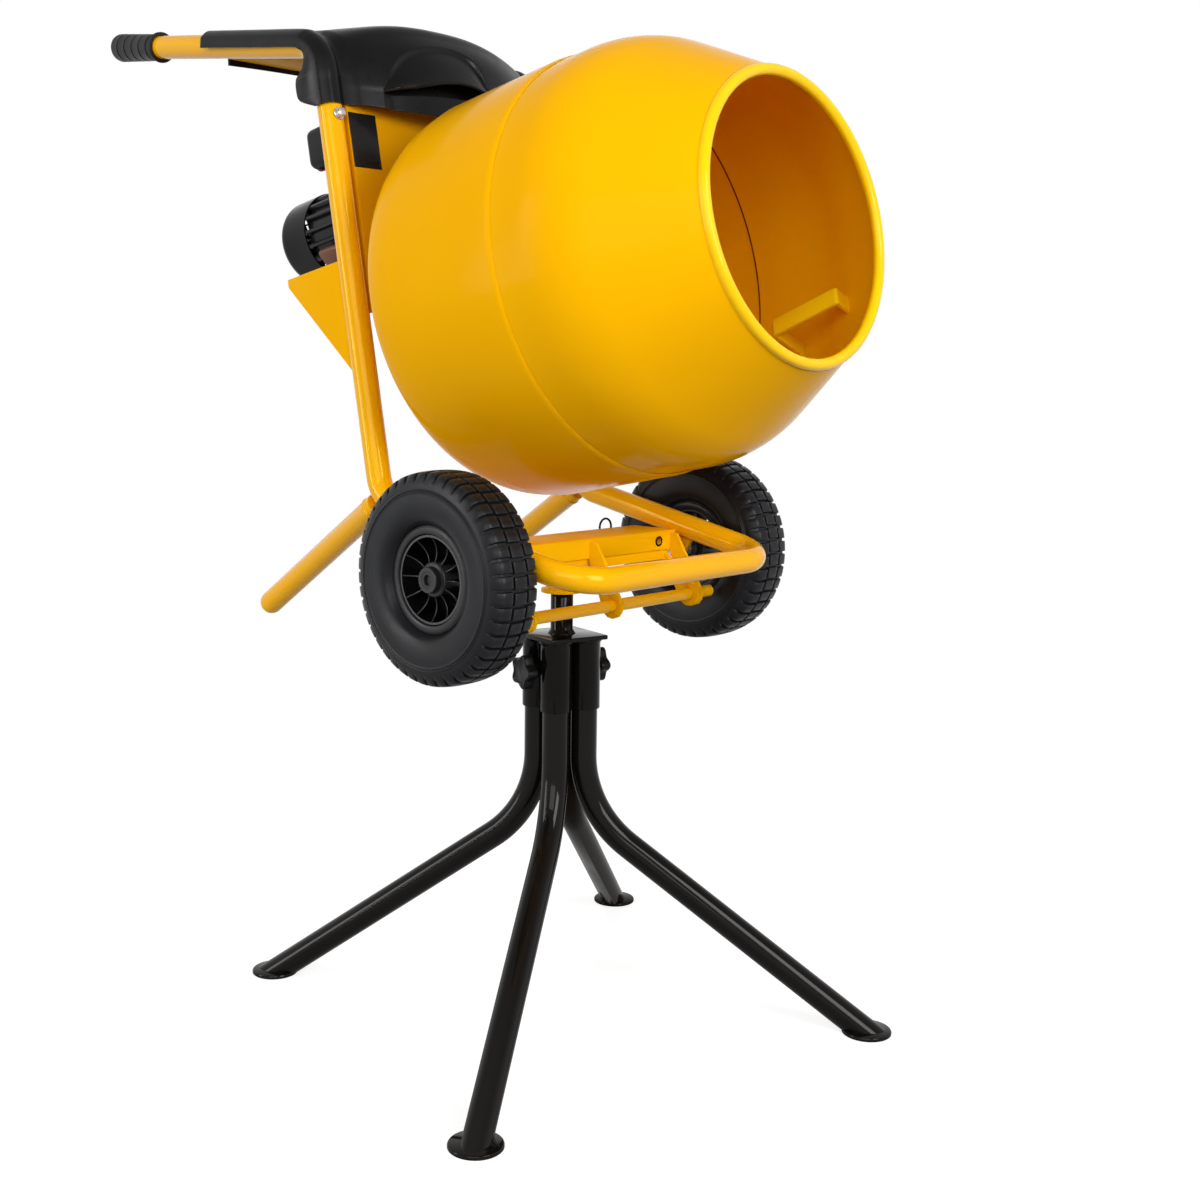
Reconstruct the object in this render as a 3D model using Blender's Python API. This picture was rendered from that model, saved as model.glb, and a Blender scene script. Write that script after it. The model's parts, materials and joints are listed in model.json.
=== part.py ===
"""Tip-up concrete mixer on a four-legged stand, as separate moving pieces.

Metres, +Z up, +X toward the drum's mouth, +Y to the machine's left. Pieces are laid
out from the stand's turning axis; at the end the whole part is moved so that the
middle of its footprint is on the world origin.
"""

import math

import bmesh
import bpy
from mathutils import Matrix, Vector

# Fits
SEAT = 0.0003            # pressed and bolted faces
BITE = 0.001             # overlap of shapes that are welded into one piece
RUN = 0.0005             # turning and sliding fits

# Stand
STAND_YAW = math.radians(-14.5)
HEAD_HEIGHT = 0.518      # floor to the top of the head plate
PLATE_SIDE = 0.090
PLATE_THICK = 0.006
SPIGOT_DIA = 0.030
SPIGOT_WELD = 0.004
SOCKET_DIA = 0.0424
SOCKET_LENGTH = 0.094
SOCKET_WALL = 0.0027
SOCKET_PITCH = 0.045
LEG_BEND_RADIUS = 0.150
LEG_SLOPE = math.radians(35.4)
FOOT_CIRCLE_RADIUS = 0.420
FOOT_DIA = 0.0666
FOOT_THICK = 0.005
KNOB_DIA = 0.048
KNOB_THICK = 0.016
KNOB_LOBES = 5
KNOB_WAVE = 0.13         # depth of the lobes as a share of the radius
KNOB_DROP = 0.047        # head plate top to the knob's axis
STUD_DIA = 0.008
BOSS_DIA = 0.020
BOSS_LENGTH = 0.010

# Saddle on the spigot, heights measured from the head plate
SHEET = 0.003
PIVOT_X = 0.090
PIVOT_Z = 0.047
ROD_DIA = 0.016
CHANNEL_TOP = 0.131
CHANNEL_FRONT = 0.050
CHANNEL_REAR = -0.024
FLANGE_DEPTH = 0.026     # front flange of the cross angle
SADDLE_DEPTH = 0.037     # walls of the saddle channel
SADDLE_INSET = 0.026     # side tube to the end of the saddle
BASE_THICK = 0.005
SLEEVE_DIA = 0.042
SLEEVE_LENGTH = 0.030
SLEEVE_LIP_DIA = 0.056
SLEEVE_LIP_THICK = 0.005
LUG_THICK = 0.006
EYE_DIA = 0.034
LOCK_INSET = 0.050       # side tube to the lock pin
LOCK_DROP = 0.014        # channel top to the lock pin's axis
LOCK_DIA = 0.008
LOCK_TAIL = 0.022        # pin length behind the saddle channel
LOCK_TRAVEL = 0.009      # the pin is drawn back by this, clear of the cross angle
RING_DIA = 0.024
RING_WIRE = 0.003

# Tube frame, measured from the tilt pivot
TUBE_DIA = 0.0325
TUBE_SIDES = 12
HALF_WIDTH = 0.190
HANDLE_TOE_IN = 0.010    # each handle end lies inward of its upright
DRUM_TILT = math.radians(11.1)
AXIS_X = -0.281          # where the drum's axis crosses the uprights
AXIS_Z = 0.3684
UPRIGHT_DROP = 0.2414
UPRIGHT_RISE = 0.3545
HANDLE_REACH = 0.472
HANDLE_RISE = math.radians(18.1)
FRONT_X = 0.113
FRONT_Z = 0.0575
BEND_RADIUS = 0.050
CORNER_RADIUS = 0.060
LEG_FOOT_SLOPE = math.radians(33.5)
LEG_FOOT_LENGTH = 0.3016
HANGER_THICK = 0.005
HANGER_INSET = 0.024     # side tube to the outer hangers
ROD_OVERHANG = 0.038     # pivot rod past the outer hangers
GRIP_LENGTH = 0.116
GRIP_WALL = 0.0020
GRIP_RIBS = 3

# Wheels
AXLE_X = -0.052
AXLE_Z = 0.054
AXLE_DIA = 0.018
WHEEL_OFFSET = 0.0575    # side tube to the middle of the wheel
TYRE_DIA = 0.260
TYRE_WIDTH = 0.074
TREAD_DEPTH = 0.003
RIM_DIA = 0.130
RIM_WIDTH = 0.052
RIM_FLANGE = 0.007
RIM_WALL = 0.003
HUB_DIA = 0.042
HUB_WIDTH = 0.058
SPOKES = 12
SPOKE_SHARE = 0.32       # spoke width as a share of its pitch
SPOKE_THICK = 0.016
BRACKET_THICK = 0.008
AXLE_HEAD = 0.006
WHEEL_SIDES = 24

# Drum, measured along its axis from the uprights
MOUTH = 0.5670
MOUTH_RADIUS = 0.1750
RIM_TUBE = 0.0116
BELLY_RADIUS = 0.2605
CONE_SLOPE = math.radians(31.4)
CONE_FILLET = 0.160
SEAM = 0.3285
LAP = 0.015
BOTTOM = 0.070
BOTTOM_FLAT = 0.120
DRUM_WALL = 0.0025
BOWL_TURN = ((0, 0.080), (0.045, 0.045), (0.145, 0.021), (0.40, 0.005))  # inward share, height
DRUM_SIDES = 24
HUB_PLATE_DIA = 0.110
SHAFT_DIA = 0.026
PADDLE_WIDTH = 0.024
PADDLE_THICK = 0.005
PADDLE_FRONT = 0.490     # ends of the paddle bars along the drum
PADDLE_REAR = 0.390
PADDLE_RADIUS = 0.185    # drum axis to the inner face of the bars
PADDLE_BEND = 0.005
PADDLE_TURN = math.radians(24.6)   # below the drum's left side, and above its right side
PADDLE_SLANT = math.radians(15)

# Drive
FRONT_PLATE_U = 0.010
FRONT_PLATE_TOP = 0.325
FRONT_PLATE_TONGUE = 0.090
TONGUE_HALF = 0.060      # half width of the plate's lower end
FRONT_PLATE_FOLD = 0.020
TEETH = 42
PINION_TEETH = 7
MODULE = 0.00345
STAGE_LEAN = math.radians(13.7)
GEAR_WIDTH = 0.016
STAGE_STEP = 0.030
DRUM_GEAR_U = -0.026
CASE_WALL = 0.0025
CASE_SIDE_ROOM = 0.004
CASE_DEPTH = 0.080
CASE_TOP_RADIUS = 0.050
BEARING_DIA = 0.062
BEARING_LENGTH = 0.040
BEARING_FLANGE_DIA = 0.100
COUNTER_DIA = 0.016
MOTOR_SHAFT_DIA = 0.014
MOTOR_DIA = 0.122
MOTOR_LENGTH = 0.095
MOTOR_FINS = 18
MOTOR_FIN_DEPTH = 0.008
BELL_LENGTH = 0.030
FAN_COVER_LENGTH = 0.060
FAN_COVER_WALL = 0.002
FAN_COVER_SIDES = 16

# Covers and switch, in the drum's own axes
HOOD_OVERHANG = 0.0215   # side tube to the outer face of the hood
HOOD_WALL = 0.003
HOOD_REAR = -0.232
HOOD_FRONT = 0.062
HOOD_LOW = 0.262
HOOD_LEG_LOW = 0.274     # lower end of the cover on the uprights
HOOD_CREST = 0.033       # dome above the corner of the tubes
HOOD_ARC = 0.84          # share of the half width that the dome arches over
HOOD_LIP = 0.043         # depth of the rear edge that is turned down between the handles
HOOD_TAB = 0.032         # rearward reach of the side flaps behind the uprights
HOOD_SCOOP = 0.020
HOOD_ROOM = 0.0007
SCOOP_ROWS = {6: 0.25, 7: 0.75, 8: 1.0}  # share of the scoop's depth by station
TAB_ROWS = {6: 0.4, 7: 0.9, 8: 1.0, 9: 0.85}  # share of the flap's reach by station
BRACE_DROP = 0.011       # handle's centre line to the upper face of the brace
BRACE_FRONT = -0.060
GUARD_REACH = 0.117
GUARD_TOP = 0.075
GUARD_LOW = -0.075
SWITCH_INSET = 0.055     # right upright to the middle of the switch
SWITCH_W = 0.2475
SWITCH_WIDTH = 0.050
SWITCH_HEIGHT = 0.054
SWITCH_REAR = -0.098
BOLT_DIA = 0.016
BUTTON_DIA = 0.020
BUTTON_LENGTH = 0.012
BUTTON_TRAVEL = 0.004

# Places that follow the width of the frame
HANDLE_HALF_WIDTH = HALF_WIDTH - HANDLE_TOE_IN
HANGER_OFFSET = HALF_WIDTH - HANGER_INSET
SADDLE_HALF = HALF_WIDTH - SADDLE_INSET
LOCK_Y = HALF_WIDTH - LOCK_INSET
HALF_TRACK = HALF_WIDTH + WHEEL_OFFSET
HOOD_HALF_WIDTH = HALF_WIDTH + HOOD_OVERHANG
SWITCH_V = SWITCH_INSET - HALF_WIDTH

YELLOW = ("yellow_paint", (0.90, 0.42, 0.006), 0.28, 0.0)
BLACK_PAINT = ("gloss_black_paint", (0.012, 0.012, 0.014), 0.18, 0.0)
BLACK_PLASTIC = ("moulded_black", (0.030, 0.031, 0.034), 0.48, 0.0)
RUBBER = ("rubber_black", (0.022, 0.022, 0.023), 0.70, 0.0)
STEEL = ("plated_steel", (0.62, 0.62, 0.64), 0.30, 1.0)
CAST = ("dark_casting", (0.020, 0.020, 0.022), 0.42, 0.1)
ORANGE = ("amber_plastic", (0.45, 0.12, 0.02), 0.45, 0.0)
GREEN = ("green_button", (0.02, 0.30, 0.06), 0.40, 0.0)
RED = ("red_button", (0.55, 0.02, 0.02), 0.40, 0.0)


def clear_scene():
    """Remove every object that the file opened with."""
    for obj in list(bpy.data.objects):
        bpy.data.objects.remove(obj, do_unlink=True)


def material(spec):
    """Return the named Principled material, made on first use."""
    name, colour, roughness, metallic = spec
    mat = bpy.data.materials.get(name)
    if mat is None:
        mat = bpy.data.materials.new(name)
        mat.use_nodes = True
        shader = mat.node_tree.nodes["Principled BSDF"]
        shader.inputs["Base Color"].default_value = (*colour, 1.0)
        shader.inputs["Roughness"].default_value = roughness
        shader.inputs["Metallic"].default_value = metallic
    return mat


def axes(name, parent, location=(0, 0, 0), rotation=(0, 0, 0)):
    """Add an empty that other pieces hang from."""
    empty = bpy.data.objects.new(name, None)
    bpy.context.scene.collection.objects.link(empty)
    empty.parent = parent
    empty.location = location
    empty.rotation_euler = rotation
    return empty


def piece(name, bm, spec, parent, location=(0, 0, 0), rotation=(0, 0, 0)):
    """Turn a bmesh into a named object with its material."""
    bmesh.ops.recalc_face_normals(bm, faces=bm.faces)
    mesh = bpy.data.meshes.new(name)
    bm.to_mesh(mesh)
    bm.free()
    obj = bpy.data.objects.new(name, mesh)
    bpy.context.scene.collection.objects.link(obj)
    obj.data.materials.append(material(spec))
    obj.parent = parent
    obj.location = location
    obj.rotation_euler = rotation
    return obj


def turned(profile, sides, axis="Z"):
    """Spin a (radius, height) outline about an axis; ends at radius 0 stay open."""
    bm = bmesh.new()
    solid = profile[0][0] == 0 and profile[-1][0] == 0
    verts = [bm.verts.new((r, 0, h)) for r, h in profile]
    pairs = list(zip(verts, verts[1:]))
    if not solid:
        pairs.append((verts[-1], verts[0]))
    edges = [bm.edges.new(pair) for pair in pairs]
    bmesh.ops.spin(bm, geom=verts + edges, cent=(0, 0, 0), axis=(0, 0, 1),
                   angle=math.tau, steps=sides, use_merge=True)
    bmesh.ops.remove_doubles(bm, verts=bm.verts, dist=1e-6)
    turn_to(bm, axis)
    return bm


def turn_to(bm, axis):
    """Point a bmesh made along Z along another axis."""
    turns = {"X": (math.pi / 2, "Y"), "Y": (-math.pi / 2, "X"), "-Y": (math.pi / 2, "X"),
             "-X": (-math.pi / 2, "Y")}
    if axis in turns:
        angle, about = turns[axis]
        bmesh.ops.rotate(bm, verts=bm.verts, matrix=Matrix.Rotation(angle, 3, about))


def pin(radius, low, high, sides, axis="Z", chamfer=0.001):
    """A plain round bar with chamfered ends."""
    return turned([(0, low), (radius - chamfer, low), (radius, low + chamfer),
                   (radius, high - chamfer), (radius - chamfer, high), (0, high)], sides, axis)


def ring(inner, outer, low, high, sides, axis="Z"):
    """A plain round tube or washer."""
    return turned([(inner, low), (outer, low), (outer, high), (inner, high)], sides, axis)


def prism(outline, low, high, normal):
    """Extrude a flat outline along one axis."""
    orders = {"X": lambda a, b, c: (c, a, b), "Y": lambda a, b, c: (a, c, b),
              "Z": lambda a, b, c: (a, b, c)}
    place = orders[normal]
    bm = bmesh.new()
    face = bm.faces.new([bm.verts.new(place(a, b, low)) for a, b in outline])
    grown = bmesh.ops.extrude_face_region(bm, geom=[face])["geom"]
    verts = [item for item in grown if isinstance(item, bmesh.types.BMVert)]
    bmesh.ops.translate(bm, verts=verts, vec=place(0, 0, high - low))
    return bm


def arc(centre, radius, start, end, steps):
    """Points of an arc in the plane, angles in degrees."""
    span = [math.radians(start + (end - start) * i / steps) for i in range(steps + 1)]
    return [(centre[0] + radius * math.cos(a), centre[1] + radius * math.sin(a)) for a in span]


def box_outline(low_a, high_a, low_b, high_b, radius, steps=2):
    """A rectangle with rounded corners."""
    if radius <= 0:
        return [(low_a, low_b), (high_a, low_b), (high_a, high_b), (low_a, high_b)]
    points = arc((high_a - radius, high_b - radius), radius, 0, 90, steps)
    points += arc((low_a + radius, high_b - radius), radius, 90, 180, steps)
    points += arc((low_a + radius, low_b + radius), radius, 180, 270, steps)
    points += arc((high_a - radius, low_b + radius), radius, 270, 360, steps)
    return points


def hull(circles, steps):
    """Outline stretched round several circles."""
    points = []
    for i in range(steps):
        angle = math.tau * i / steps
        a, b = math.cos(angle), math.sin(angle)
        (x, y), r = max(circles, key=lambda c: c[0][0] * a + c[0][1] * b + c[1])
        points.append((x + r * a, y + r * b))
    return points


def rounded_path(points, radius, steps):
    """Replace the inner corners of a path with arcs."""
    path = [points[0]]
    for before, corner, after, r in zip(points, points[1:], points[2:], radius):
        back = (before - corner).normalized()
        ahead = (after - corner).normalized()
        half = back.angle(ahead) / 2
        centre = corner + (back + ahead).normalized() * r / math.sin(half)
        first = corner + back * r / math.tan(half) - centre
        last = corner + ahead * r / math.tan(half) - centre
        turn = first.rotation_difference(last)
        for i in range(steps + 1):
            part = Matrix.Rotation(turn.angle * i / steps, 3, turn.axis)
            path.append(centre + part @ first)
    path.append(points[-1])
    return path


def tube(path, diameter, sides):
    """Sweep a round bar along a path, as a bevelled curve with filled ends."""
    curve = bpy.data.curves.new("tube_path", "CURVE")
    curve.dimensions = "3D"
    curve.bevel_depth = diameter / 2
    curve.bevel_resolution = sides // 2 - 2
    curve.use_fill_caps = True
    spline = curve.splines.new("POLY")
    spline.points.add(len(path) - 1)
    for point, place in zip(spline.points, path):
        point.co = (*place, 1)
    holder = bpy.data.objects.new("tube_path", curve)
    mesh = bpy.data.meshes.new_from_object(holder)
    bm = bmesh.new()
    bm.from_mesh(mesh)
    bmesh.ops.remove_doubles(bm, verts=bm.verts, dist=1e-6)
    bmesh.ops.dissolve_faces(bm, faces=[f for f in bm.faces if len(f.verts) == 3])
    bpy.data.objects.remove(holder)
    bpy.data.curves.remove(curve)
    bpy.data.meshes.remove(mesh)
    return bm


def combine(obj, operation, bm, parent, location, rotation):
    """Add an exact boolean with a hidden helper shape to an object."""
    helper = piece(obj.name + "_helper", bm, BLACK_PAINT, parent, location, rotation)
    helper.hide_render = True
    helper.display_type = "WIRE"
    step = obj.modifiers.new(operation.lower(), "BOOLEAN")
    step.operation = operation
    step.solver = "EXACT"
    step.object = helper


def cut(obj, bm, parent, location=(0, 0, 0), rotation=(0, 0, 0)):
    """Take a shape away from an object."""
    combine(obj, "DIFFERENCE", bm, parent, location, rotation)


def weld(obj, bm, parent, location=(0, 0, 0), rotation=(0, 0, 0)):
    """Weld a shape that overlaps an object onto it."""
    combine(obj, "UNION", bm, parent, location, rotation)


def soften(obj, width, segments=1):
    """Break the sharp edges of an object."""
    step = obj.modifiers.new("edges", "BEVEL")
    step.width = width
    step.segments = segments
    step.limit_method = "ANGLE"
    step.angle_limit = math.radians(50)


def build_stand(root):
    """Four bent legs in a welded head with a turning spigot."""
    stand = axes("stand_axes", root, (0, 0, HEAD_HEIGHT), (0, 0, STAND_YAW))
    half = PLATE_SIDE / 2
    head = piece("stand_head", prism(box_outline(-half, half, -half, half, 0.003),
                                     -PLATE_THICK, 0, "Z"), BLACK_PAINT, stand)
    spigot_top = CHANNEL_TOP - 2 * SHEET - SEAT - RUN
    radius = SPIGOT_DIA / 2
    profile = [(0, -BITE), (radius + SPIGOT_WELD, -BITE), (radius + SPIGOT_WELD * 0.7, SPIGOT_WELD * 0.7),
               (radius, SPIGOT_WELD * 1.6), (radius, spigot_top - 0.004), (radius - 0.003, spigot_top),
               (0, spigot_top)]
    weld(head, turned(profile, 16), stand)

    pitch = SOCKET_PITCH / 2
    top = -PLATE_THICK
    bore = SOCKET_DIA / 2 - SOCKET_WALL
    leg_radius = bore - RUN
    start_r = pitch * math.sqrt(2)
    ground = -HEAD_HEIGHT
    foot_top = ground + FOOT_THICK - BITE
    corner_z = ground + (FOOT_CIRCLE_RADIUS - start_r) * math.tan(LEG_SLOPE)
    beyond = FOOT_CIRCLE_RADIUS + 0.040
    points = [Vector((start_r, 0, top - SEAT)), Vector((start_r, 0, corner_z)),
              Vector((beyond, 0, ground - 0.040 * math.tan(LEG_SLOPE)))]
    for number, name in enumerate(("front", "left", "rear", "right")):
        angle = math.radians(45 + 90 * (number - 1))
        place = (start_r * math.cos(angle), start_r * math.sin(angle), 0)
        weld(head, ring(bore, SOCKET_DIA / 2, top - SOCKET_LENGTH, top + BITE, 14), stand, place)
        leg = tube(rounded_path(points, [LEG_BEND_RADIUS], 4), leg_radius * 2, 10)
        bmesh.ops.bisect_plane(leg, geom=leg.verts[:] + leg.edges[:] + leg.faces[:],
                               plane_co=(0, 0, foot_top), plane_no=(0, 0, -1), clear_outer=True)
        bmesh.ops.holes_fill(leg, edges=[e for e in leg.edges if e.is_boundary], sides=0)
        leg = piece("stand_leg_" + name, leg, BLACK_PAINT, stand, (0, 0, 0), (0, 0, angle))
        r = FOOT_DIA / 2
        disc = turned([(0, 0), (r, 0), (r, FOOT_THICK * 0.7), (r - 0.002, FOOT_THICK), (0, FOOT_THICK)], 14)
        place = (FOOT_CIRCLE_RADIUS * math.cos(angle), FOOT_CIRCLE_RADIUS * math.sin(angle), ground)
        weld(leg, disc, stand, place)

    reach = math.sqrt((SOCKET_DIA / 2) ** 2 - (pitch - BOSS_DIA / 2) ** 2)
    boss_start = pitch + reach - BITE
    for name, side in (("right", -1), ("left", 1)):
        axis = "Y" if side > 0 else "-Y"
        boss = ring(STUD_DIA / 2 + RUN, BOSS_DIA / 2, boss_start, boss_start + BOSS_LENGTH, 10, axis)
        weld(head, boss, stand, (0, 0, -KNOB_DROP))
        knob_axis = axes("knob_axis_" + name, stand, (0, 0, -KNOB_DROP))
        seat = boss_start + BOSS_LENGTH + RUN
        piece("clamp_knob_" + name, star_knob(seat, side), BLACK_PLASTIC, knob_axis)


def star_knob(seat, side):
    """A lobed hand knob with its stud, along +Y or -Y."""
    radius = KNOB_DIA / 2
    count = KNOB_LOBES * 4
    outline = []
    for i in range(count):
        angle = math.tau * i / count
        r = radius * (1 - KNOB_WAVE + KNOB_WAVE * math.cos(KNOB_LOBES * angle))
        outline.append((r * math.cos(angle), r * math.sin(angle)))
    bm = prism(outline, seat, seat + KNOB_THICK, "Z")
    bm.faces.ensure_lookup_table()
    for face in list(bm.faces):
        outward = face.calc_center_median().z
        if len(face.verts) < count:
            continue
        if abs(outward - seat) < 1e-6:
            bmesh.ops.inset_region(bm, faces=[face], thickness=0.004)
            for vert in face.verts:
                flat = Vector((vert.co.x, vert.co.y, 0)).normalized() * STUD_DIA / 2
                vert.co = (flat.x, flat.y, vert.co.z)
            grown = bmesh.ops.extrude_face_region(bm, geom=[face])["geom"]
            tip = [v for v in grown if isinstance(v, bmesh.types.BMVert)]
            bmesh.ops.translate(bm, verts=tip, vec=(0, 0, RUN - BOSS_LENGTH))
            bmesh.ops.delete(bm, geom=[face], context="FACES_ONLY")
        else:
            bmesh.ops.inset_region(bm, faces=[face], thickness=0.003, depth=0.002)
    turn_to(bm, "Y" if side > 0 else "-Y")
    return bm


def eye_plate(top_points, thick, middle, outer):
    """A plate that hangs from its top points and ends in a round eye at the pivot."""
    first, last = top_points[0], top_points[-1]
    start = math.degrees(math.atan2(last[1], last[0])) - 75
    end = math.degrees(math.atan2(first[1], first[0])) + 62 - 360
    points = list(top_points) + arc((0, 0), outer / 2, start, end, 7)
    return prism(points, middle - thick / 2, middle + thick / 2, "Y")


def build_saddle(root):
    """The channel that turns on the spigot and carries the tilt pivot."""
    saddle = axes("swivel_axis", root, (0, 0, HEAD_HEIGHT))
    outer_top = CHANNEL_TOP - SHEET - SEAT
    front = CHANNEL_FRONT - SHEET - RUN
    rear = CHANNEL_REAR + SHEET
    low = outer_top - SADDLE_DEPTH
    outline = [(rear, low), (rear + SHEET, low), (rear + SHEET, outer_top - SHEET),
               (front - SHEET, outer_top - SHEET), (front - SHEET, low), (front, low),
               (front, outer_top), (rear, outer_top)]
    lock_z = CHANNEL_TOP - LOCK_DROP
    frame = piece("saddle", prism(outline, -SADDLE_HALF, SADDLE_HALF, "Y"), YELLOW, saddle)
    base_top = low + BITE
    base_low = low - BASE_THICK
    half = SLEEVE_LIP_DIA * 0.65
    base = prism(box_outline(-SLEEVE_DIA / 2 - 0.006, front - SHEET / 2, -half, half, 0.006),
                 base_low, base_top, "Z")
    weld(frame, base, saddle)
    inner = SPIGOT_DIA / 2 - 0.003
    top = base_low + BITE
    bottom = base_low - SLEEVE_LENGTH
    lip = SLEEVE_LIP_DIA / 2
    sleeve = turned([(inner, bottom), (lip, bottom), (lip, bottom + SLEEVE_LIP_THICK),
                     (SLEEVE_DIA / 2, bottom + SLEEVE_LIP_THICK), (SLEEVE_DIA / 2, top), (inner, top)], 16)
    weld(frame, sleeve, saddle)

    lug_back = front - BITE - PIVOT_X
    tops = [(lug_back, low - PIVOT_Z), (lug_back, low + 0.010 - PIVOT_Z), (lug_back + 0.012, low - PIVOT_Z)]
    pivot = axes("pivot_axis", saddle, (PIVOT_X, 0, PIVOT_Z))
    lug_y = HANGER_OFFSET - (HANGER_THICK + LUG_THICK) / 2 - 2 * RUN
    for side in (-1, 1):
        weld(frame, eye_plate(tops, LUG_THICK, side * lug_y, EYE_DIA), pivot)
    cut(frame, pin(ROD_DIA / 2 + RUN, -SADDLE_HALF, SADDLE_HALF, 16, "Y"), pivot)
    cut(frame, pin(SPIGOT_DIA / 2 + RUN, bottom - 0.01, outer_top - SHEET - BITE, 16), saddle)
    lock_bore = LOCK_DIA / 2 + RUN
    cut(frame, pin(lock_bore, rear - 0.010, front + 0.010, 12, "X"), saddle, (0, LOCK_Y, lock_z))

    lock = axes("lock_axis", saddle, (-LOCK_TRAVEL, LOCK_Y, lock_z))
    tail = rear - LOCK_TAIL
    r = LOCK_DIA / 2
    body = turned([(0, tail), (r * 1.2, tail), (r * 1.2, rear - SEAT - 0.008), (r * 2, rear - SEAT - 0.008),
                   (r * 2, rear - SEAT), (r, rear - SEAT), (r, CHANNEL_FRONT + 0.001),
                   (r - 0.002, CHANNEL_FRONT + 0.003), (0, CHANNEL_FRONT + 0.003)], 10, "X")
    plunger = piece("lock_pin", body, BLACK_PAINT, lock)
    eye_room = RING_DIA / 2 - math.sqrt((RING_DIA / 2) ** 2 - (r * 1.2) ** 2)
    hole_radius = RING_WIRE / 2 + RUN + eye_room / 2
    hole_x = tail + hole_radius + 0.0015
    cut(plunger, pin(hole_radius, -0.02, 0.02, 12, "Y"), lock, (hole_x, 0, eye_room / 2))
    loop = turned([(RING_DIA / 2 + RING_WIRE / 2 * math.cos(a), RING_WIRE / 2 * math.sin(a))
                   for a in [math.tau * i / 5 for i in range(5)]], 12, "X")
    piece("lock_ring", loop, BLACK_PAINT, lock, (hole_x, 0, RING_DIA / 2))
    return saddle


def side_run_z(x):
    """Height of the lower side tube's centre line, from the pivot."""
    rear_x, rear_z = lower_corner()
    return rear_z + (FRONT_Z - rear_z) * (x - rear_x) / (FRONT_X - rear_x)


def lower_corner():
    """Where the upright meets the lower side tube, from the pivot."""
    return (AXIS_X + UPRIGHT_DROP * math.sin(DRUM_TILT), AXIS_Z - UPRIGHT_DROP * math.cos(DRUM_TILT))


def drum_to_pivot(u, v, w):
    """Turn a place in the drum's axes into one measured from the pivot."""
    c, s = math.cos(DRUM_TILT), math.sin(DRUM_TILT)
    return Vector((AXIS_X + u * c - w * s, v, AXIS_Z + u * s + w * c))


def frame_path():
    """The bent tube from one handle end round the front bar to the other."""
    end_w = UPRIGHT_RISE + HANDLE_REACH * math.tan(HANDLE_RISE)
    rear_x, rear_z = lower_corner()
    near = [drum_to_pivot(-HANDLE_REACH, -HANDLE_HALF_WIDTH, end_w),
            drum_to_pivot(0, -HALF_WIDTH, UPRIGHT_RISE),
            Vector((rear_x, -HALF_WIDTH, rear_z)),
            Vector((FRONT_X, -HALF_WIDTH, FRONT_Z))]
    far = [Vector((p.x, -p.y, p.z)) for p in reversed(near)]
    radii = [BEND_RADIUS, BEND_RADIUS, CORNER_RADIUS, CORNER_RADIUS, BEND_RADIUS, BEND_RADIUS]
    return rounded_path(near + far, radii, 3)


def build_frame(saddle):
    """The tilting tube frame with its pivot rod, axles, feet and grips."""
    tilt = axes("tilt_axis", saddle, (PIVOT_X, 0, PIVOT_Z))
    piece("main_frame", tube(frame_path(), TUBE_DIA, TUBE_SIDES), YELLOW, tilt)

    rear_x, rear_z = lower_corner()
    run = Vector((-math.cos(LEG_FOOT_SLOPE), 0, -math.sin(LEG_FOOT_SLOPE)))
    start = Vector((rear_x - TUBE_DIA * 0.10, 0, rear_z - TUBE_DIA * 0.06))
    end = start + run * LEG_FOOT_LENGTH
    for name, side in (("right", -1), ("left", 1)):
        y = side * HALF_WIDTH
        shoulder = end - run * TUBE_DIA / 2
        foot = tube([start, shoulder], TUBE_DIA, TUBE_SIDES)
        shrink_end(foot, shoulder, run, TUBE_DIA / 2)
        rest = piece("rest_foot_" + name, foot, YELLOW, tilt, (0, y, 0))
        cut(rest, tube(frame_path(), TUBE_DIA + 2 * SEAT, TUBE_SIDES), tilt)

    top = CHANNEL_TOP - PIVOT_Z
    front = CHANNEL_FRONT - PIVOT_X
    rear = CHANNEL_REAR - PIVOT_X
    half = HALF_WIDTH - BRACKET_THICK - AXLE_HEAD - RUN
    outline = [(rear, top - SHEET), (front - SHEET, top - SHEET), (front - SHEET, top - FLANGE_DEPTH),
               (front, top - FLANGE_DEPTH), (front, top), (rear, top)]
    angle = piece("cross_angle", prism(outline, -half, half, "Y"), YELLOW, tilt)
    cut(angle, tube(frame_path(), TUBE_DIA + 2 * SEAT, TUBE_SIDES), tilt)
    lock_z = CHANNEL_TOP - LOCK_DROP - PIVOT_Z
    cut(angle, pin(LOCK_DIA / 2 + RUN, front - 0.010, front + 0.010, 12, "X"), tilt, (0, LOCK_Y, lock_z))

    back = front - BITE
    tops = [(back, top - FLANGE_DEPTH + BITE), (back, top - 0.004), (back + 0.012, top - 0.004)]
    for y in (-HANGER_OFFSET, 0, HANGER_OFFSET):
        weld(angle, eye_plate(tops, HANGER_THICK, y, EYE_DIA), tilt)
    cut(angle, pin(ROD_DIA / 2 + SEAT, -1.2 * HANGER_OFFSET, 1.2 * HANGER_OFFSET, 16, "Y"), tilt)
    rod_half = HANGER_OFFSET + ROD_OVERHANG
    piece("pivot_rod", pin(ROD_DIA / 2, -rod_half, rod_half, 16, "Y", 0.0015), YELLOW, tilt)

    for name, side in (("right", -1), ("left", 1)):
        build_axle(tilt, name, side)
        build_grip(tilt, name, side)
    return tilt


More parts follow.
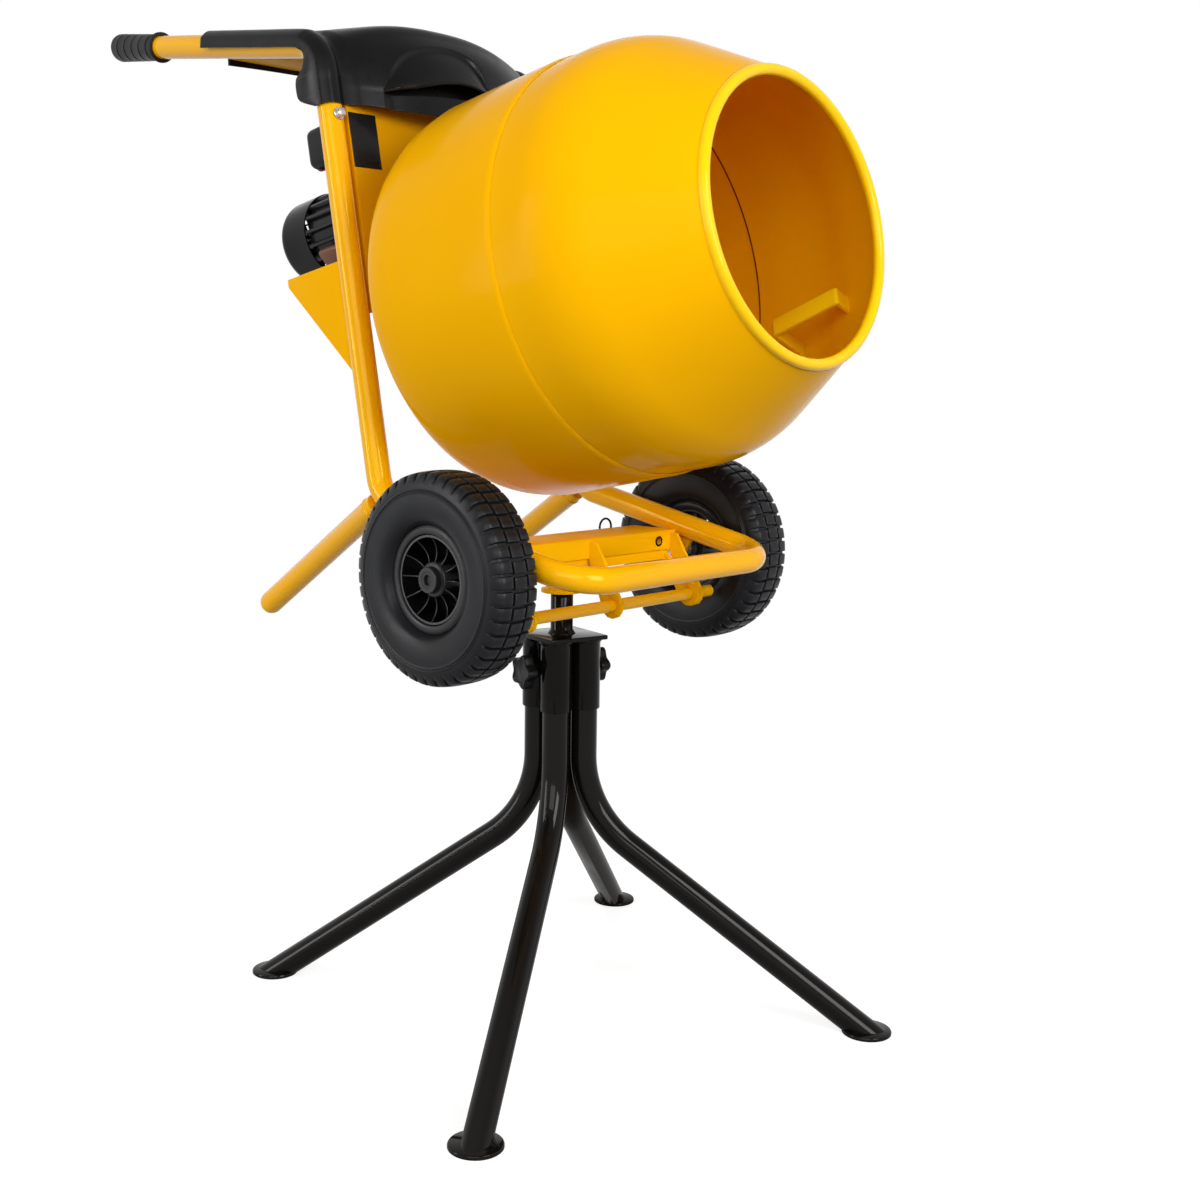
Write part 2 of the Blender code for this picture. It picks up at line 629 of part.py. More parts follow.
def shrink_end(bm, place, run, radius):
    """Round off the capped end of a tube with a short dome."""
    cap = [f for f in bm.faces if len(f.verts) > 4 and (f.calc_center_median() - place).length < 1e-4]
    for share, rise in ((0.85, 0.53), (0.45, 0.36)):
        grown = bmesh.ops.extrude_face_region(bm, geom=cap)["geom"]
        bmesh.ops.delete(bm, geom=cap, context="FACES_ONLY")
        cap = [g for g in grown if isinstance(g, bmesh.types.BMFace)]
        middle = cap[0].calc_center_median()
        bmesh.ops.translate(bm, verts=cap[0].verts, vec=run * radius * rise)
        middle = middle + run * radius * rise
        now = (cap[0].verts[0].co - middle).length
        for vert in cap[0].verts:
            vert.co = middle + (vert.co - middle) * (share * radius / now)


def build_axle(tilt, name, side):
    """Bracket under the side tube, stub axle and the wheel on it."""
    lower = TUBE_DIA / 2 / math.cos(math.atan2(side_run_z(0) - side_run_z(1), 1)) + SEAT
    width = 0.030
    left, right = AXLE_X - width, AXLE_X + width
    outline = [(right, side_run_z(right) - lower), (left, side_run_z(left) - lower)]
    outline += arc((AXLE_X, AXLE_Z), 0.018, 200, 340, 6)
    near = side * HALF_WIDTH
    bracket = piece("axle_bracket_" + name, prism(outline, near - BRACKET_THICK / 2,
                                                  near + BRACKET_THICK / 2, "Y"), YELLOW, tilt)
    cut(bracket, pin(AXLE_DIA / 2 + SEAT, -0.5, 0.5, 16, "Y"), tilt, (AXLE_X, 0, AXLE_Z))
    start = HALF_WIDTH - BRACKET_THICK
    stop = HALF_TRACK + HUB_WIDTH / 2 - 0.006
    r = AXLE_DIA / 2
    inner_hub = HALF_TRACK - HUB_WIDTH / 2
    collar = HALF_WIDTH + BRACKET_THICK / 2 + SEAT
    seat = start + BRACKET_THICK / 2 - SEAT
    profile = [(0, start - AXLE_HEAD), (r * 1.5, start - AXLE_HEAD), (r * 1.5, seat), (r, seat),
               (r, collar), (r * 1.35, collar), (r * 1.35, inner_hub - RUN), (r, inner_hub - RUN),
               (r, stop - 0.0015), (r - 0.0015, stop), (0, stop)]
    piece("stub_axle_" + name, turned(profile, 12, "Y" if side > 0 else "-Y"), STEEL, tilt,
          (AXLE_X, 0, AXLE_Z))
    wheel = axes("wheel_axis_" + name, tilt, (AXLE_X, side * HALF_TRACK, AXLE_Z))
    build_wheel(wheel, name, side)


def build_wheel(wheel, name, side):
    """Block-tread tyre on a dished rim with curved fan spokes."""
    axis = "Y" if side > 0 else "-Y"
    crown = TYRE_DIA / 2 - TREAD_DEPTH
    half = TYRE_WIDTH / 2
    r = RIM_DIA / 2
    h = RIM_WIDTH / 2
    well = r - RIM_FLANGE
    bead = well + SEAT
    seat = h - RIM_WALL - SEAT
    bulge = r + 0.022
    outline = [(bead, -seat), (r + SEAT, -seat), (bulge, -half), (crown - 0.016, -half + 0.003),
               (crown - 0.004, -half * 0.66), (crown, -half * 0.22)]
    outline += [(radius, -height) for radius, height in reversed(outline)]
    tyre = turned(outline, WHEEL_SIDES, axis)
    add_tread(tyre, crown)
    piece("tyre_" + name, tyre, RUBBER, wheel)

    inner = well - RIM_WALL
    rim = turned([(r, -h), (r, -h + RIM_WALL), (well, -h + RIM_WALL), (well, h - RIM_WALL),
                  (r, h - RIM_WALL), (r, h), (inner, h - 0.002), (inner, -h + 0.002)], WHEEL_SIDES, axis)
    piece("rim_" + name, rim, BLACK_PLASTIC, wheel)
    hoop = inner * math.cos(math.pi / WHEEL_SIDES) - SEAT
    piece("wheel_spider_" + name, spider(hoop, side), BLACK_PLASTIC, wheel)


def add_tread(bm, crown):
    """Raise staggered blocks on the tyre's crown and shoulders."""
    bm.faces.ensure_lookup_table()
    blocks = []
    for face in bm.faces:
        middle = face.calc_center_median()
        if math.hypot(middle.x, middle.z) < crown * math.cos(math.pi / WHEEL_SIDES) - 0.004:
            continue
        turn = int(round(math.atan2(middle.z, middle.x) / math.tau * WHEEL_SIDES - 0.5)) % 2
        row = 1 if abs(middle.y) < 0.004 else 0
        if turn == row:
            blocks.append(face)
    grown = bmesh.ops.extrude_discrete_faces(bm, faces=blocks)["faces"]
    for face in grown:
        middle = face.calc_center_median()
        out = Vector((middle.x, 0, middle.z)).normalized() * TREAD_DEPTH
        for vert in face.verts:
            vert.co = vert.co.lerp(middle, 0.10) + out


def spider(outer, side):
    """Hub, curved spokes and outer hoop of a wheel, in one moulding."""
    bm = bmesh.new()
    sides = SPOKES * 2
    hub = HUB_DIA / 2
    radii = [AXLE_DIA / 2 + RUN, hub, hub + (outer - hub) * 0.42, outer - 0.003, outer]
    sweep = [0, 0, 0.12, 0.40, 0.40]
    low = -SPOKE_THICK / 2

    def rim_vert(level, index):
        turn = index // 2 + sweep[level] + SPOKE_SHARE * (index % 2)
        angle = math.tau * turn / SPOKES
        return bm.verts.new((radii[level] * math.cos(angle), radii[level] * math.sin(angle), low))

    grid = [[rim_vert(level, index) for index in range(sides)] for level in range(5)]
    hub_faces = []
    for index in range(sides):
        nxt = (index + 1) % sides
        for level in range(4):
            if level in (1, 2) and index % 2:
                continue
            face = bm.faces.new([grid[level][index], grid[level][nxt],
                                 grid[level + 1][nxt], grid[level + 1][index]])
            if level == 0:
                hub_faces.append(face)
    loose = [v for v in bm.verts if not v.link_faces]
    bmesh.ops.delete(bm, geom=loose, context="VERTS")
    grown = bmesh.ops.extrude_face_region(bm, geom=bm.faces[:])["geom"]
    tops = [g for g in grown if isinstance(g, bmesh.types.BMFace)]
    verts = [g for g in grown if isinstance(g, bmesh.types.BMVert)]
    bmesh.ops.translate(bm, verts=verts, vec=(0, 0, SPOKE_THICK))
    rise = (HUB_WIDTH - SPOKE_THICK) / 2
    raised = [f for f in tops if math.hypot(*f.calc_center_median().xy) < hub]
    for faces, step in ((raised, rise), (hub_faces, -rise)):
        more = bmesh.ops.extrude_face_region(bm, geom=faces)["geom"]
        verts = [g for g in more if isinstance(g, bmesh.types.BMVert)]
        bmesh.ops.translate(bm, verts=verts, vec=(0, 0, step))
        bmesh.ops.delete(bm, geom=[f for f in faces if f.is_valid], context="FACES_ONLY")
    turn_to(bm, "Y" if side > 0 else "-Y")
    return bm


def build_grip(tilt, name, side):
    """Ribbed rubber sleeve closed over the handle's end."""
    inner = (TUBE_DIA / 2 + SEAT) / math.cos(math.pi / TUBE_SIDES)
    outer = inner + GRIP_WALL
    end = inner + GRIP_WALL + 0.0015
    profile = [(inner, 0), (outer + 0.003, 0), (outer + 0.003, 0.004), (outer, 0.006)]
    ribs = GRIP_RIBS
    first, last = 0.022, GRIP_LENGTH - 0.022
    for i in range(ribs):
        at = first + (last - first) * i / (ribs - 1)
        swell = outer + (end - outer) * at / GRIP_LENGTH
        profile += [(swell, at - 0.003), (swell - 0.0012, at), (swell, at + 0.003)]
    profile += [(end, GRIP_LENGTH - 0.006), (end - 0.004, GRIP_LENGTH), (0.006, GRIP_LENGTH),
                (0.006, GRIP_LENGTH - 0.004), (inner, GRIP_LENGTH - 0.004)]
    path = frame_path()
    tip, inboard = (path[0], path[1]) if side < 0 else (path[-1], path[-2])
    away = (tip - inboard).normalized()
    place = tip - away * (GRIP_LENGTH - 0.004 - SEAT)
    turn = away.to_track_quat("Z", "Y").to_euler()
    piece("grip_" + name, turned(profile, TUBE_SIDES), RUBBER, tilt, place, turn)


def cone_end():
    """Distance behind the mouth where the rounded end of the cone meets the belly."""
    mouth = MOUTH_RADIUS - RIM_TUBE / 2
    return (BELLY_RADIUS - mouth) / math.tan(CONE_SLOPE) + CONE_FILLET * math.tan(CONE_SLOPE / 2)


def shell_radius(s):
    """Outer radius of the drum at a distance behind the mouth: cone, rounding and belly."""
    if s >= cone_end():
        return BELLY_RADIUS
    if s > cone_end() - CONE_FILLET * math.sin(CONE_SLOPE):
        return BELLY_RADIUS - CONE_FILLET + math.sqrt(CONE_FILLET ** 2 - (cone_end() - s) ** 2)
    return MOUTH_RADIUS - RIM_TUBE / 2 + s * math.tan(CONE_SLOPE)


def build_drum(mixer):
    """Open drum: pressed bowl, front shell, rolled mouth, paddles and shaft."""
    spin = axes("drum_axis", mixer)
    turn = CONE_FILLET * math.sin(CONE_SLOPE)
    stations = [RIM_TUBE * 0.86] + [cone_end() - turn * (1 - i / 5) for i in range(6)]
    outer = [(shell_radius(s), MOUTH - s) for s in stations] + [(BELLY_RADIUS, SEAM - LAP)]
    inner = [(r - DRUM_WALL, u) for r, u in reversed(outer[:1] + outer[1::2])]
    piece("drum_front_shell", turned(outer + inner, DRUM_SIDES, "X"), YELLOW, spin)
    room = [(r - SEAT, u) for r, u in inner]
    beyond = BELLY_RADIUS * 1.1
    room += [(beyond, room[-1][1]), (beyond, room[0][1])]

    wide = BELLY_RADIUS + SEAT + DRUM_WALL
    turn = wide - BOTTOM_FLAT
    bowl = [(wide, SEAM)]
    for share, drop in BOWL_TURN:
        bowl.append((wide - turn * share, BOTTOM + drop))
    hole = SHAFT_DIA / 2 + SEAT
    bowl += [(BOTTOM_FLAT, BOTTOM), (hole, BOTTOM), (hole, BOTTOM + DRUM_WALL)]
    inside = [(BOTTOM_FLAT, BOTTOM + DRUM_WALL)]
    for share, drop in reversed(BOWL_TURN):
        inside.append((wide - turn * share - DRUM_WALL, BOTTOM + drop + DRUM_WALL * (1 - share) * 0.6))
    inside.append((wide - DRUM_WALL, SEAM))
    piece("drum_bowl", turned(bowl + inside, DRUM_SIDES, "X"), YELLOW, spin)

    centre = MOUTH_RADIUS - RIM_TUBE / 2
    half = RIM_TUBE / 2
    section = [(centre + half * math.cos(a), MOUTH - half + half * math.sin(a))
               for a in [math.tau * (i + 0.5) / 6 for i in range(6)]]
    piece("drum_mouth_ring", turned(section, DRUM_SIDES, "X"), YELLOW, spin)

    r = SHAFT_DIA / 2
    plate = HUB_PLATE_DIA / 2
    back = BOTTOM - SEAT
    hub = turned([(r + SEAT, back - 0.016), (r + 0.010, back - 0.016), (r + 0.012, back - 0.008),
                  (plate, back - 0.006), (plate, back), (r + SEAT, back)], 16, "X")
    piece("drum_hub", hub, CAST, spin)
    inside_end = BOTTOM + DRUM_WALL + SEAT
    tail = DRUM_GEAR_U - GEAR_WIDTH / 2 - 0.004
    nut = r + 0.014
    shaft = turned([(0, tail), (r - 0.0015, tail), (r, tail + 0.0015), (r, inside_end), (nut, inside_end),
                    (nut, inside_end + 0.008), (nut - 0.006, inside_end + 0.013),
                    (0, inside_end + 0.013)], 14, "X")
    piece("drum_shaft", shaft, STEEL, spin)
    gear = bored(gear_blank(TEETH), SHAFT_DIA / 2 + SEAT, 20)
    piece("drum_gear", gear, CAST, spin, (DRUM_GEAR_U, 0, 0), (STAGE_LEAN, 0, 0))
    middle = (PADDLE_FRONT + PADDLE_REAR) / 2
    for name, turn in (("lower", -math.pi / 2 - PADDLE_TURN), ("upper", math.pi / 2 - PADDLE_TURN)):
        bar = piece("paddle_" + name, paddle(), YELLOW, spin, (middle, 0, 0), (turn, 0, 0))
        cut(bar, turned(room, DRUM_SIDES, "X"), spin)


def paddle():
    """A slanted flat bar along the drum with both ends bent out into the wall, which trims them."""
    half = (PADDLE_FRONT - PADDLE_REAR) / 2
    low, high = PADDLE_RADIUS, PADDLE_RADIUS + PADDLE_THICK
    front = shell_radius(MOUTH - PADDLE_FRONT + PADDLE_WIDTH)
    rear = BELLY_RADIUS
    bend, t = PADDLE_BEND, PADDLE_THICK
    outline = [(bend - half, low), (half - bend, low), (half, low + bend), (half, front), (half - t, front),
               (half - t, high), (t - half, high), (t - half, rear), (-half, rear), (-half, low + bend)]
    bm = prism(outline, -PADDLE_WIDTH / 2, PADDLE_WIDTH / 2, "Y")
    bmesh.ops.rotate(bm, verts=bm.verts, matrix=Matrix.Rotation(-PADDLE_SLANT, 3, "Z"))
    return bm


def stage(number):
    """Centre of a shaft of the gear train, in the drum's axes."""
    step = MODULE * (TEETH + PINION_TEETH) / 2
    return (-step * number * math.sin(STAGE_LEAN), step * number * math.cos(STAGE_LEAN))


def gear_blank(teeth):
    """A solid spur gear along X with straight-flanked teeth and a gap on +Z."""
    pitch = MODULE * teeth / 2
    tip, root = pitch + 0.8 * MODULE, pitch - 1.1 * MODULE
    outline = []
    for i in range(teeth):
        for share, r in ((-0.27, root), (-0.12, tip), (0.12, tip), (0.27, root)):
            angle = math.tau * (i + 0.5 + share) / teeth + math.pi / 2
            outline.append((r * math.cos(angle), r * math.sin(angle)))
    return prism(outline, -GEAR_WIDTH / 2, GEAR_WIDTH / 2, "X")


def bored(bm, bore, sides):
    """Open a round hole along X through a prism."""
    for face in [f for f in bm.faces if len(f.verts) > 4]:
        at = face.calc_center_median().x
        loop = [bm.verts.new((at, bore * math.cos(a), bore * math.sin(a)))
                for a in [math.tau * i / sides for i in range(sides)]]
        rim = list(face.edges)
        inner = [bm.edges.new(pair) for pair in zip(loop, loop[1:] + loop[:1])]
        bmesh.ops.delete(bm, geom=[face], context="FACES_ONLY")
        bmesh.ops.triangle_fill(bm, edges=rim + inner, use_beauty=False)
    bmesh.ops.bridge_loops(bm, edges=[e for e in bm.edges if e.is_boundary])
    return bm


def build_drive(mixer):
    """Front plate, gear case, countershaft and motor."""
    inside = HALF_WIDTH - TUBE_DIA / 2 - SEAT
    u0, u1 = FRONT_PLATE_U, FRONT_PLATE_U + SHEET
    fold = u1 - FRONT_PLATE_FOLD
    outline = [(fold, -inside), (u1, -inside), (u1, inside), (fold, inside), (fold, inside - SHEET),
               (u0, inside - SHEET), (u0, -inside + SHEET), (fold, -inside + SHEET)]
    plate = piece("gear_front_plate", prism(outline, -FRONT_PLATE_TONGUE, FRONT_PLATE_TOP, "Z"),
                  YELLOW, mixer)
    skirt = inside + 0.010
    for side in (-1, 1):
        below = -FRONT_PLATE_TONGUE - 0.01
        corner = [(side * TONGUE_HALF, below), (side * skirt, below), (side * skirt, 0.004),
                  (side * (inside - 0.012), 0.004)]
        cut(plate, prism(corner, fold - 0.01, u1 + 0.01, "X"), mixer)
    cut(plate, pin(BEARING_DIA / 2 + SEAT, u0 - 0.01, u1 + 0.01, 16, "X"), mixer)
    bush = COUNTER_DIA / 2 + 0.005
    cy, cz = stage(1)
    cut(plate, pin(bush + SEAT, u0 - 0.01, u1 + 0.01, 14, "X"), mixer, (0, cy, cz))

    bore = SHAFT_DIA / 2 + RUN
    back = u1 + SEAT
    bearing = turned([(bore, u0 - 0.006), (BEARING_DIA / 2, u0 - 0.006), (BEARING_DIA / 2, back),
                      (BEARING_FLANGE_DIA / 2, back), (BEARING_FLANGE_DIA / 2, back + 0.007),
                      (BEARING_DIA / 2 - 0.004, back + 0.010),
                      (BEARING_DIA / 2 - 0.008, back + BEARING_LENGTH - 0.012),
                      (bore, back + BEARING_LENGTH - 0.012)], 16, "X")
    piece("drum_bearing", bearing, CAST, mixer)

    build_case(mixer, u0 - SEAT)
    case_back = u0 - SEAT - CASE_DEPTH
    spans = (("front", u0 - 0.004, u1 + 0.003), ("rear", case_back, case_back + CASE_WALL + 0.002))
    for name, low, high in spans:
        sleeve = ring(COUNTER_DIA / 2 + RUN, bush, low, high, 14, "X")
        piece("counter_bush_" + name, sleeve, STEEL, mixer, (0, cy, cz))
    counter = axes("counter_axis", mixer, (0, cy, cz))
    gear_u = DRUM_GEAR_U - STAGE_STEP
    shaft = piece("counter_shaft", pin(COUNTER_DIA / 2, case_back, u1 + 0.001, 14, "X"), STEEL, counter)
    mesh_turn = (STAGE_LEAN + math.pi + math.pi / PINION_TEETH, 0, 0)
    weld(shaft, gear_blank(PINION_TEETH), counter, (DRUM_GEAR_U, 0, 0), mesh_turn)
    gear = bored(gear_blank(TEETH), COUNTER_DIA / 2 + SEAT, 14)
    piece("counter_gear", gear, CAST, counter, (gear_u, 0, 0), (STAGE_LEAN, 0, 0))
    build_motor(mixer, case_back, gear_u)


def build_case(mixer, mouth):
    """Round-ended sheet case over the gear train, open at the front plate."""
    tip = MODULE * (TEETH / 2 + 0.8)
    radius = tip + CASE_SIDE_ROOM + CASE_WALL
    top_y, top_z = stage(2)
    outline = hull([((0, 0), radius), (stage(1), radius), ((top_y, top_z), CASE_TOP_RADIUS)], 24)
    back = mouth - CASE_DEPTH
    bm = prism(outline, back, mouth, "X")
    front = [f for f in bm.faces if len(f.verts) > 4 and abs(f.calc_center_median().x - mouth) < 1e-6]
    bmesh.ops.inset_region(bm, faces=front, thickness=CASE_WALL, use_even_offset=True)
    grown = bmesh.ops.extrude_face_region(bm, geom=front)["geom"]
    verts = [g for g in grown if isinstance(g, bmesh.types.BMVert)]
    bmesh.ops.translate(bm, verts=verts, vec=(-CASE_DEPTH + CASE_WALL, 0, 0))
    bmesh.ops.delete(bm, geom=front, context="FACES_ONLY")
    case = piece("gear_case", bm, YELLOW, mixer)
    cy, cz = stage(1)
    bush = COUNTER_DIA / 2 + 0.005
    cut(case, pin(bush + SEAT, back - 0.01, back + 0.02, 14, "X"), mixer, (0, cy, cz))
    cut(case, pin(MOTOR_SHAFT_DIA / 2 + 0.006, back - 0.01, back + 0.02, 16, "X"), mixer, (0, top_y, top_z))


def build_motor(mixer, case_back, gear_u):
    """Finned motor with its fan cover, and the rotor that turns in it."""
    place = (0, *stage(2))
    front = case_back - SEAT
    r = MOTOR_DIA / 2
    hole = MOTOR_SHAFT_DIA / 2 + RUN
    bell_back = front - BELL_LENGTH
    bell = turned([(hole, bell_back), (r - 0.002, bell_back), (r, bell_back + 0.004),
                   (r, bell_back + 0.012), (r - 0.016, front), (hole, front)], 16, "X")
    piece("motor_front_bell", bell, CAST, mixer, place)
    body_front = bell_back - SEAT
    body_back = body_front - MOTOR_LENGTH
    core = r - MOTOR_FIN_DEPTH
    tip = r - 0.001
    outline = []
    for i in range(MOTOR_FINS):
        for share, radius in ((-0.30, core), (-0.16, tip), (0.16, tip), (0.30, core)):
            angle = math.tau * (i + share) / MOTOR_FINS
            outline.append((radius * math.cos(angle), radius * math.sin(angle)))
    body = piece("motor_body", prism(outline, body_back, body_front, "X"), CAST, mixer, place)
    cut(body, pin(hole, body_back - 0.01, body_front + 0.01, 16, "X"), mixer, place)

    cover_front = body_back - SEAT
    cover_back = cover_front - FAN_COVER_LENGTH
    cover = piece("fan_cover", fan_cover(cover_front, cover_back), BLACK_PLASTIC, mixer, place)
    shell = cover.modifiers.new("wall", "SOLIDIFY")
    shell.thickness = FAN_COVER_WALL
    shell.offset = -1
    box = prism(box_outline(-0.024, 0.024, tip + SEAT, tip + 0.030, 0.004), -0.035, 0.035, "X")
    terminal = piece("terminal_box", box, CAST, mixer, ((body_front + body_back) / 2, *place[1:]),
                     (math.radians(-70), 0, 0))
    soften(terminal, 0.002)
    block = prism(box_outline(-0.012, 0.012, tip + SEAT, tip + 0.014, 0.004), -0.020, 0.020, "X")
    piece("run_capacitor", block, ORANGE, mixer, ((body_front + body_back) / 2, *place[1:]),
          (math.radians(128), 0, 0))

    rotor = axes("rotor_axis", mixer, place)
    tail = cover_back + 0.012
    nose = gear_u + GEAR_WIDTH / 2 + 0.004
    shaft = piece("rotor_shaft", pin(MOTOR_SHAFT_DIA / 2, tail, nose, 14, "X"), STEEL, rotor)
    mesh_turn = (STAGE_LEAN + math.pi + math.pi / PINION_TEETH, 0, 0)
    weld(shaft, gear_blank(PINION_TEETH), rotor, (gear_u, 0, 0), mesh_turn)
    piece("cooling_fan", fan((cover_front + cover_back) / 2), BLACK_PLASTIC, rotor)


def fan_cover(front, back):
    """Open surface of the fan cover, with slots left out of its back."""
    r = MOTOR_DIA / 2 + 0.0005
    chain = [(r, front), (r, back + 0.012), (r - 0.008, back), (r * 0.55, back), (0.012, back), (0, back)]
    bm = turned([(0, back)] + chain[::-1][1:] + [(0, front)], FAN_COVER_SIDES, "X")
    bm.verts.ensure_lookup_table()
    lid = [v for v in bm.verts if abs(v.co.x - front) < 1e-6 and math.hypot(v.co.y, v.co.z) < 1e-6]
    bmesh.ops.delete(bm, geom=lid, context="VERTS")
    bmesh.ops.recalc_face_normals(bm, faces=bm.faces)
    slots = []
    for face in bm.faces:
        middle = face.calc_center_median()
        radius = math.hypot(middle.y, middle.z)
        turn = int((math.atan2(middle.z, middle.y) / math.tau + 1) * FAN_COVER_SIDES) % 2
        if abs(middle.x - back) < 1e-6 and 0.55 * r < radius and turn:
            slots.append(face)
    bmesh.ops.delete(bm, geom=slots, context="FACES")
    outside = [f for f in bm.faces if f.normal.dot(Vector((0, *f.calc_center_median().yz))) < -1e-4]
    if outside:
        bmesh.ops.reverse_faces(bm, faces=bm.faces)
    return bm


def fan(middle):
    """A small radial fan with straight blades on a hub disc."""
    blades = 6
    inner = MOTOR_SHAFT_DIA / 2 + SEAT
    hub, tip = 0.016, MOTOR_DIA / 2 - 0.010
    low, high = middle - 0.008, middle + 0.008
    outline = []
    for i in range(blades):
        for angle, r in ((-0.06, hub), (-0.035, tip), (0.035, tip), (0.06, hub)):
            turn = math.tau * (i + angle * (2.2 if r == hub else 1)) / blades
            outline.append((r * math.cos(turn), r * math.sin(turn)))
    return bored(prism(outline, low, high, "X"), inner, 16)


def handle_w(u):
    """Height of the handle tube's centre line in the drum's axes."""
    return UPRIGHT_RISE - u * math.tan(HANDLE_RISE)


def build_covers(mixer):
    """Moulded hood over the handles, side guards and the switch."""
    hood = piece("hood", hood_surface(), BLACK_PLASTIC, mixer)
    shell = hood.modifiers.new("wall", "SOLIDIFY")
    shell.thickness = HOOD_WALL
    shell.offset = -1
    shell.use_even_offset = True

    run = math.cos(HANDLE_RISE)
    chord = math.sqrt((TUBE_DIA / 2) ** 2 - BRACE_DROP ** 2) + SEAT
    corners = []
    for place in (HOOD_REAR / run + HOOD_WALL + SEAT, BRACE_FRONT):
        half = HALF_WIDTH + HANDLE_TOE_IN * place * run / HANDLE_REACH - chord
        corners += [(place, half), (place, -half)]
    outline = [corners[0], corners[1], corners[3], corners[2]]
    piece("handle_brace", prism(outline, -BRACE_DROP - SHEET, -BRACE_DROP, "Z"), YELLOW, mixer,
          (0, 0, UPRIGHT_RISE), (0, HANDLE_RISE, 0))

    rear = -TUBE_DIA / 2 - SEAT
    fold = 0.014
    for name, side in (("right", -1), ("left", 1)):
        y = side * HALF_WIDTH
        outline = [(rear, GUARD_LOW), (rear, GUARD_TOP), (rear - GUARD_REACH, GUARD_TOP),
                   (rear - GUARD_REACH, GUARD_TOP - 0.008)]
        guard = piece("guard_" + name, prism(outline, y - SHEET / 2, y + SHEET / 2, "Y"), YELLOW, mixer)
        inward = sorted((y + side * SHEET / 2, y - side * fold))
        weld(guard, prism(box_outline(rear - GUARD_REACH, rear, GUARD_TOP - BITE, GUARD_TOP + SHEET, 0),
                          *inward, "Y"), mixer)
        head = turned([(0, 0), (BOLT_DIA / 2, 0), (BOLT_DIA / 2, 0.003), (BOLT_DIA * 0.36, 0.0035),
                       (BOLT_DIA * 0.36, 0.008), (0, 0.009)], 12, "X")
        piece("frame_bolt_" + name, head, STEEL, mixer, (-rear, y, HOOD_LEG_LOW - BOLT_DIA * 0.85))

    front = FRONT_PLATE_U - SEAT
    v0, v1 = SWITCH_V - SWITCH_WIDTH / 2, SWITCH_V + SWITCH_WIDTH / 2
    w0, w1 = SWITCH_W - SWITCH_HEIGHT / 2, SWITCH_W + SWITCH_HEIGHT / 2
    box = piece("switch_box", prism(box_outline(v0, v1, w0, w1, 0.008), SWITCH_REAR, front, "X"),
                BLACK_PLASTIC, mixer)
    for name, spec, w in (("on", GREEN, SWITCH_W + 0.015), ("off", RED, SWITCH_W - 0.015)):
        place = (SWITCH_REAR, SWITCH_V, w)
        well = BUTTON_LENGTH + BUTTON_TRAVEL
        cut(box, pin(BUTTON_DIA / 2 + RUN, -0.01, well, 14, "X"), mixer, place)
        slide = axes("switch_axis_" + name, mixer, place)
        button = pin(BUTTON_DIA / 2, -0.005, BUTTON_LENGTH - 0.001, 12, "X")
        piece("switch_button_" + name, button, spec, slide)


def hood_sides():
    """Stations of the hood along the tube: its centre and the angle of its outward side."""
    bend = (-BEND_RADIUS, handle_w(-BEND_RADIUS) - BEND_RADIUS / math.cos(HANDLE_RISE))
    upward = math.pi / 2 - HANDLE_RISE
    stations = [((u, handle_w(u)), upward) for u in (HOOD_REAR, HOOD_REAR * 0.72, HOOD_REAR * 0.45)]
    for step in range(5):
        angle = upward * (1 - step / 4)
        place = (bend[0] + BEND_RADIUS * math.cos(angle), bend[1] + BEND_RADIUS * math.sin(angle))
        stations.append((place, angle))
    for share in (1 / 3, 2 / 3, 1):
        stations.append(((0, bend[1] + (HOOD_LEG_LOW - bend[1]) * share), 0))
    return stations


def hood_middle(stations, cover):
    """The hood's outline over the middle of the machine, one point for each station."""
    flat = [(u + cover * math.cos(a), w + cover * math.sin(a) + 0.003) for (u, w), a in stations[:3]]
    tall = UPRIGHT_RISE + TUBE_DIA / 2 + HOOD_CREST - HOOD_LOW
    dome = [(-0.070, 1.06), (-0.030, 1.03), (HOOD_FRONT * 0.26, 0.95), (HOOD_FRONT * 0.58, 0.80),
            (HOOD_FRONT * 0.86, 0.57), (HOOD_FRONT, 0.24), (HOOD_FRONT, 0.17), (HOOD_FRONT, 0)]
    return flat + [(u, HOOD_LOW + tall * share) for u, share in dome]


